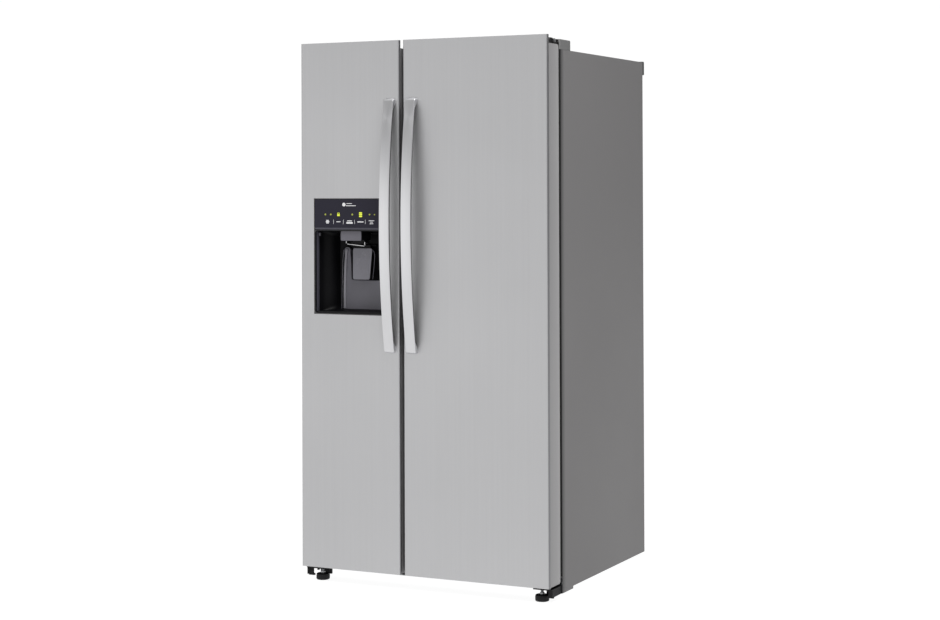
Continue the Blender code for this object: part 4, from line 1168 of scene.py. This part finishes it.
# cabinet
dress("cabinetPaint", "side_panel_left", "side_panel_right", "top_panel", bevel=0.0004)
dress("seamShadow", "front_frame", bevel=0.0004)
dress("darkPlastic", "rear_top_rail", bevel=0.0012)
dress("dullBlack", "toe_grille", bevel=0.0006)
dress("zincSheet", "back_panel", "machine_cover", "base_pan", bevel=0.0004)
dress("blackEnamel", "compressor", "condenser", bevel=0.0006)
dress("dullBlack", "condenser_fan", bevel=0.0004)
print("cabinet ready")


# inside the compartments
cavityShape = {"corner": 0.022, "side": 0.016, "sheet": 0.0017, "front": 0.1062, "back": 0.760,
               "low": 0.115, "high": 1.680, "step": 0.580, "hump": 0.335}


def makeCavity(name, node, x):
    corner, front = cavityShape["corner"], cavityShape["front"]
    back, low, high, step, hump = (cavityShape[key] for key in ("back", "low", "high", "step", "hump"))
    outline = [(front, low)] + arc((step - corner, low + corner), corner, 270, 360, 5)
    outline += arc((step + corner, hump - corner), corner, 180, 90, 5)
    outline += arc((back - corner, hump + corner), corner, 270, 360, 5)
    outline += arc((back - corner, high - corner), corner, 0, 90, 5) + [(front, high)]
    bm = shape(prism, outline, "X", *x)
    bmesh.ops.recalc_face_normals(bm, faces=bm.faces)
    frontY = faceY + front
    rims = [edge for face in bm.faces if len(face.verts) == len(outline) for edge in face.edges
            if not all(abs(v.co.y - frontY) < 1e-6 for v in edge.verts)]
    bmesh.ops.bevel(bm, geom=rims, offset=cavityShape["side"], segments=4, profile=0.5, affect="EDGES",
                    clamp_overlap=True)
    lids = [face for face in bm.faces if all(abs(v.co.y - frontY) < 1e-5 for v in face.verts)]
    bmesh.ops.delete(bm, geom=lids, context="FACES")
    cavity = rawObject(name, bm)
    skin = cavity.modifiers.new("sheet", "SOLIDIFY")
    skin.thickness = cavityShape["sheet"]
    skin.offset = 1.0
    settle(cavity, "linerWhite", "cabinet", stands=(node,), angle=50)


shelfShape = {"trim": 0.015, "edge": 0.009, "glass": 0.004}


def makeShelf(name, node):
    x, depth, z = span(node)
    front, top, trim = depth[0], z[1], shelfShape["trim"]
    nose = arc((front + 0.0045, top - 0.0045), 0.0045, 90, 180, 4)
    nose += arc((front + 0.003, z[0] + 0.003), 0.003, 180, 270, 3)
    outline = nose + [(front + trim - 0.002, z[0]), (front + trim, z[0] + 0.002),
                      (front + trim, top - 0.0055), (depth[1], top - 0.0055), (depth[1], top)]
    frame = rawObject(name + "Frame", shape(prism, outline, "X", *x))
    carve(frame, shape(slab, grown(x, -shelfShape["edge"]), (front + trim, depth[1] - 0.012), grown(z, 0.01)))
    settle(frame, "whitePlastic", "cabinet", bevel=0.0008, stands=(node,))
    pane = roundRect(grown(x, 0.002 - shelfShape["edge"]), (front + trim - 0.002, depth[1] - 0.010), 0.004, 4)
    glass = shape(prism, pane, "Z", top - 0.001 - shelfShape["glass"], top - 0.001)
    make(name + "Glass", glass, "shelfGlass", "cabinet", bevel=0.0006)
    rails = bmesh.new()
    for wall, side in ((x[0], 1), (x[1], -1)):
        wallX = wall - side * 0.0012
        section = [(wallX, top - 0.0235), (wallX + side * 0.0065, top - 0.0195),
                   (wallX + side * 0.0065, z[0] - 0.0006), (wallX, z[0] - 0.0006)]
        prism(rails, section, "Y", front + 0.022, depth[1] - 0.01)
    make(name + "Rails", rails, "linerWhite", "cabinet", bevel=0.0010)


drawerShape = {"wall": 0.0028, "corner": 0.014, "foot": 0.012, "taper": 0.003}


def makeDrawer(name, node, body):
    x, depth, z = span(node)
    front = depth[0] + 0.012
    wall = drawerShape["wall"]
    bm = bmesh.new()
    tub(bm, x, (front + 0.0012, depth[1]), (z[0], z[1] - 0.004), wall, drawerShape["corner"],
        drawerShape["foot"], flare=drawerShape["taper"])
    make(name, bm, "clearTub", body, stands=(node,), angle=40)
    face = bmesh.new()
    prism(face, roundRect(x, (z[0] + 0.002, z[1]), 0.010, 5), "Y", front - 0.003, front + 0.001)
    lip = [(depth[0], z[1] - 0.011), (depth[0], z[1] - 0.0025), (depth[0] + 0.0025, z[1]), (front, z[1])]
    lip += [(front, z[1] - 0.003), (depth[0] + 0.0035, z[1] - 0.003), (depth[0] + 0.0028, z[1] - 0.011)]
    grip = bmesh.new()
    prism(grip, lip, "X", *grown(x, -0.006))
    make(name + "Front", face, "clearTub", body, bevel=0.0010)
    make(name + "Grip", grip, "whitePlastic", body, bevel=0.0007)


def makeDoorBin(name, node, body):
    x, depth, z = span(node)
    wall = drawerShape["wall"]
    bm = bmesh.new()
    tub(bm, x, (depth[0], depth[1] - 0.0022), z, wall, 0.016, 0.010, flare=0.004)
    make(name, bm, "clearTub", body, stands=(node,), angle=40)
    band = bmesh.new()
    inner = depth[1] - 0.0024
    prism(band, roundRect(grown(x, -0.004), (z[1] - 0.024, z[1] - 0.002), 0.006, 5), "Y", inner, depth[1])
    make(name + "Band", band, "whitePlastic", body, bevel=0.0009)


ductShape = {"proud": 0.0105, "corner": 0.012, "vent": 0.0065}


def makeDuct(name, x, wall, z, vents):
    # air duct standing on a back wall, with level vents near its top and middle
    proud, corner = ductShape["proud"], ductShape["corner"]
    front = wall - proud
    steps = ((0.0, wall), (0.0, front + 0.005), (0.0015, front + 0.0015), (0.005, front))
    duct = rawObject(name, shape(loft, [uprightLoop(x, depth, z, inset, corner) for inset, depth in steps]))
    cutters = []
    for height in vents:
        for i in range(4):
            vent = (height + i * 0.013, height + i * 0.013 + ductShape["vent"])
            cutters.append(shape(slab, grown(x, -0.022), (front - 0.01, wall - 0.004), vent))
    carve(duct, *cutters)
    settle(duct, "linerWhite", "cabinet", bevel=0.0008, angle=30)


def buildInside():
    makeCavity("freezerCavity", "freezer_liner", (-0.387, -0.0955))
    makeCavity("fridgeCavity", "fridge_liner", (-0.0455, 0.397))
    for name, node in (("freezerShelf", "freezer_shelf"), ("fridgeShelfUpper", "fridge_shelf_upper"),
                       ("fridgeShelfLower", "fridge_shelf_lower"), ("crisperCover", "crisper_cover")):
        makeShelf(name, node)
    for name, node, body in (("freezerDrawerLower", "freezer_drawer_lower", "freezer_drawer_low"),
                             ("freezerDrawerUpper", "freezer_drawer_upper", "freezer_drawer_high"),
                             ("crisperLower", "crisper_lower", "crisper_low"),
                             ("crisperUpper", "crisper_upper", "crisper_high")):
        makeDrawer(name, node, body)
    for name, node, body in (("freezerBinLower", "freezer_bin_lower", "freezer_door"),
                             ("freezerBinUpper", "freezer_bin_upper", "freezer_door"),
                             ("bottleBin", "bottle_bin", "fridge_door")):
        makeDoorBin(name, node, body)
    dress("clearTub", "dairy_bin", "dairy_lid", bevel=0.0010)
    dress("whitePlastic", "ice_bin", "ice_maker", bevel=0.0010)
    dress("whitePlastic", "evaporator_cover", "evaporator_fan", bevel=0.0005)
    dress("zincSheet", "ice_auger")

    makeDuct("fridgeAirDuct", (0.125, 0.225), 0.7594, (0.560, 1.610), (0.700, 1.000, 1.330, 1.520))
    makeDuct("freezerAirDuct", (-0.345, -0.137), 0.6996, (1.290, 1.600), (1.330, 1.500))
    lamp = bmesh.new()
    steps = ((0.0, 1.6796), (0.0, 1.6745), (0.0015, 1.6715), (0.005, 1.6700))
    for x in ((0.115, 0.235), (-0.290, -0.192)):
        loft(lamp, [flatLoop(x, (0.150, 0.215), height, inset, 0.010) for inset, height in steps])
    make("roofLamps", lamp, "lampLens", "cabinet", angle=40)
    spacer = bmesh.new()
    prism(spacer, roundRect((0.262, 0.560), (0.140, 0.290), 0.010, 5), "X", 0.3728, 0.3966)
    make("crisperSpacer", spacer, "linerWhite", "cabinet", bevel=0.0020)

    ring = bmesh.new()
    fanPlace = at(-0.241, 0.0, 1.180)
    outer = [(0.0615, 0.6935), (0.0620, 0.6925), (0.0690, 0.6925), (0.0705, 0.6945), (0.0710, 0.6996),
             (0.0615, 0.6996)]
    loops = []
    for i in range(48):
        across, up = math.cos(2 * math.pi * i / 48), math.sin(2 * math.pi * i / 48)
        loops.append([fanPlace + Vector((r * across, along, r * up)) for r, along in outer])
    loft(ring, loops, ring=True)
    for i in range(3):
        turn = Matrix.Rotation(math.radians(90 + 120 * i), 4, "Y")
        start, end = turn @ Vector((0.010, 0.6950, 0)), turn @ Vector((0.0640, 0.6950, 0))
        tube(ring, [fanPlace + start, fanPlace + (start + end) / 2, fanPlace + end], 0.0022, 8)
    lathe(ring, [(0.006, 0.6920), (0.0115, 0.6920), (0.0130, 0.6935), (0.0130, 0.6985)], fanPlace, "Y", 24)
    make("evaporatorFanGuard", ring, "whitePlastic", "cabinet", angle=40)
    bail = bmesh.new()
    bends = ((-0.146, 0.600, 1.575), (-0.1455, 0.585, 1.540), (-0.150, 0.545, 1.518), (-0.150, 0.450, 1.514),
             (-0.150, 0.350, 1.516), (-0.1500, 0.312, 1.535), (-0.1470, 0.300, 1.570))
    path = smoothPath([at(*bend) for bend in bends], 6)
    tube(bail, path, 0.0016, 8)
    make("iceMakerBail", bail, "zincSheet", "cabinet")


def buildBack():
    ribs = bmesh.new()
    wall = 0.8299
    steps = ((0.0, wall), (0.002, wall + 0.0012), (0.004, wall + 0.0016))
    for x in ((-0.330, -0.316), (-0.007, 0.007), (0.316, 0.330)):
        loft(ribs, [uprightLoop(x, depth, (0.440, 1.620), inset, 0.0028, 4) for inset, depth in steps])
    make("backPanelRibs", ribs, "zincSheet", "cabinet", angle=30)
    screws = bmesh.new()
    spots = [(x, z) for x in (-0.432, 0.432) for z in (0.375, 0.800, 1.250, 1.670)]
    spots += [(x, 0.372) for x in (-0.250, 0.0, 0.250)]
    spots += [(x, z) for x in (-0.432, -0.110, 0.215, 0.432) for z in (0.075, 0.342)]
    for x, z in spots:
        screwHead(screws, at(x, wall - 0.0002, z), "Y", 0.0042)
    make("backScrews", screws, "zincSheet", "cabinet", angle=40)
    grommet = bmesh.new()
    lathe(grommet, [(0.0050, 0.8416), (0.0085, 0.8425), (0.0100, 0.8445), (0.0070, 0.8455), (0.0048, 0.8440)],
          at(0.300, 0.0, 0.260), "Y", 28)
    make("leadGrommet", grommet, "dullBlack", "cabinet", angle=40)
    nozzle = bmesh.new()
    lathe(nozzle, [(0.0040, 0.8418), (0.0064, 0.8420), (0.0064, 0.8455), (0.0052, 0.8465), (0.0036, 0.8465)],
          at(-0.400, 0.0, 0.260), "Y", 24)
    make("waterInletCollar", nozzle, "whitePlastic", "cabinet", angle=40)
    pipes = bmesh.new()
    low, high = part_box("compressor")
    far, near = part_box("condenser")
    top = high.z - 0.030
    middle = (low.y + high.y) / 2
    start = Vector((low.x + 0.012 if far.x < low.x else high.x - 0.012, middle, top))
    target = Vector((near.x - 0.010 if far.x < low.x else far.x + 0.010, middle, near.z - 0.020))
    lift = Vector((0, 0, 0.028))
    for shift in (-0.030, 0.030):
        offset = Vector((0, shift, 0))
        path = [start, start + lift, (start + target) / 2 + lift, target + lift, target]
        path = smoothPath([spot + offset for spot in path], 8)
        tube(pipes, path, 0.0032, 10)
    make("copperPipes", pipes, "copperPipe", "cabinet")


buildInside()
buildBack()
print("inside ready")


# floor, light and camera
studio = {"bright": 0.84, "dark": 0.25, "heading": (-0.55, -0.835), "dip": 0.46, "floorSeen": 0.93,
          "floorGlow": 0.68, "floorTone": 0.30}


def buildStudio():
    floor = bmesh.new()
    plan = roundRect((-30, 30), (-30, 30), 10, 8)
    loft(floor, [[Vector((a, b, level)) for a, b in plan] for level in (-0.02, -0.0002)])
    ground = rawObject("studioFloor", floor)
    material = bpy.data.materials.new("studioPale")
    material.use_nodes = True
    tree = material.node_tree
    shader = tree.nodes["Principled BSDF"]
    tone = studio["floorTone"]
    shader.inputs["Base Color"].default_value = (tone, tone, tone, 1)
    shader.inputs["Roughness"].default_value = 0.9
    shader.inputs["Specular IOR Level"].default_value = 0.0
    shader.inputs["Emission Color"].default_value = (1, 1, 1, 1)
    seen = tree.nodes.new("ShaderNodeLightPath").outputs["Is Camera Ray"]
    tree.links.new(remap(tree, seen, 0.0, 1.0, studio["floorGlow"], studio["floorSeen"]),
                   shader.inputs["Emission Strength"])
    ground.data.materials.append(material)

    world = bpy.data.worlds.new("studioWorld")
    bpy.context.scene.world = world
    world.use_nodes = True
    tree = world.node_tree
    tree.nodes.clear()
    out = tree.nodes.new("ShaderNodeOutputWorld")
    split = tree.nodes.new("ShaderNodeSeparateXYZ")
    tree.links.new(tree.nodes.new("ShaderNodeTexCoord").outputs["Generated"], split.inputs[0])
    across = combine(tree, "MULTIPLY", split.outputs["X"], studio["heading"][0])
    along = combine(tree, "MULTIPLY", split.outputs["Y"], studio["heading"][1])
    level = remap(tree, combine(tree, "ADD", across, along), -0.2, 0.8, studio["dark"], studio["bright"])
    low = remap(tree, split.outputs["Z"], 0.05, 0.20, 1.0, studio["dip"])
    high = remap(tree, split.outputs["Z"], 0.40, 0.80, 0.0, 1.0 - studio["dip"])
    fill = tree.nodes.new("ShaderNodeBackground")
    tree.links.new(combine(tree, "MULTIPLY", level, combine(tree, "ADD", low, high)), fill.inputs["Strength"])
    fill.inputs["Color"].default_value = (1, 1, 1, 1)
    backdrop = addNode(tree, "ShaderNodeBackground", Strength=1.02)
    backdrop.inputs["Color"].default_value = (1, 1, 1, 1)
    choose = tree.nodes.new("ShaderNodeMixShader")
    rays = tree.nodes.new("ShaderNodeLightPath")
    tree.links.new(rays.outputs["Is Camera Ray"], choose.inputs[0])
    tree.links.new(fill.outputs[0], choose.inputs[1])
    tree.links.new(backdrop.outputs[0], choose.inputs[2])
    tree.links.new(choose.outputs[0], out.inputs[0])


def addSoftbox(name, place, target, size, power, tall=None):
    data = bpy.data.lights.new(name, "AREA")
    data.shape = "RECTANGLE"
    data.size = size
    data.size_y = tall or size
    data.energy = power
    light = bpy.data.objects.new(name, data)
    bpy.context.scene.collection.objects.link(light)
    light.location = place
    light.rotation_euler = (Vector(target) - Vector(place)).to_track_quat("-Z", "Y").to_euler()


cameraSetup = {"place": (2.8409, -5.8695, 1.3023), "turn": 25.961, "tilt": 90.559, "roll": -0.00339,
               "lens": 73.367, "shiftY": -0.15074}


def addCamera():
    data = bpy.data.cameras.new("viewCamera")
    data.lens = cameraSetup["lens"]
    data.sensor_width = 36.0
    data.shift_y = cameraSetup["shiftY"]
    data.clip_end = 200.0
    camera = bpy.data.objects.new("viewCamera", data)
    camera.location = cameraSetup["place"]
    turn = Matrix.Rotation(math.radians(cameraSetup["turn"]), 4, "Z")
    turn = turn @ Matrix.Rotation(math.radians(cameraSetup["tilt"]), 4, "X")
    camera.rotation_euler = (turn @ Matrix.Rotation(cameraSetup["roll"], 4, "Z")).to_euler()
    bpy.context.scene.collection.objects.link(camera)
    bpy.context.scene.camera = camera


buildStudio()
addSoftbox("frontLeftBox", (-3.2, -4.6, 1.0), (0, 0, 0.9), 3.2, 6.0, 2.6)
addSoftbox("topBox", (0.4, -1.2, 4.4), (0, 0, 1.0), 3.0, 14.0)
addSoftbox("sideBox", (1.8, -1.8, 3.4), (0.447, -0.1, 1.5), 1.4, 44.0)
addCamera()
bpy.context.scene.view_settings.view_transform = "Standard"
print("studio ready")
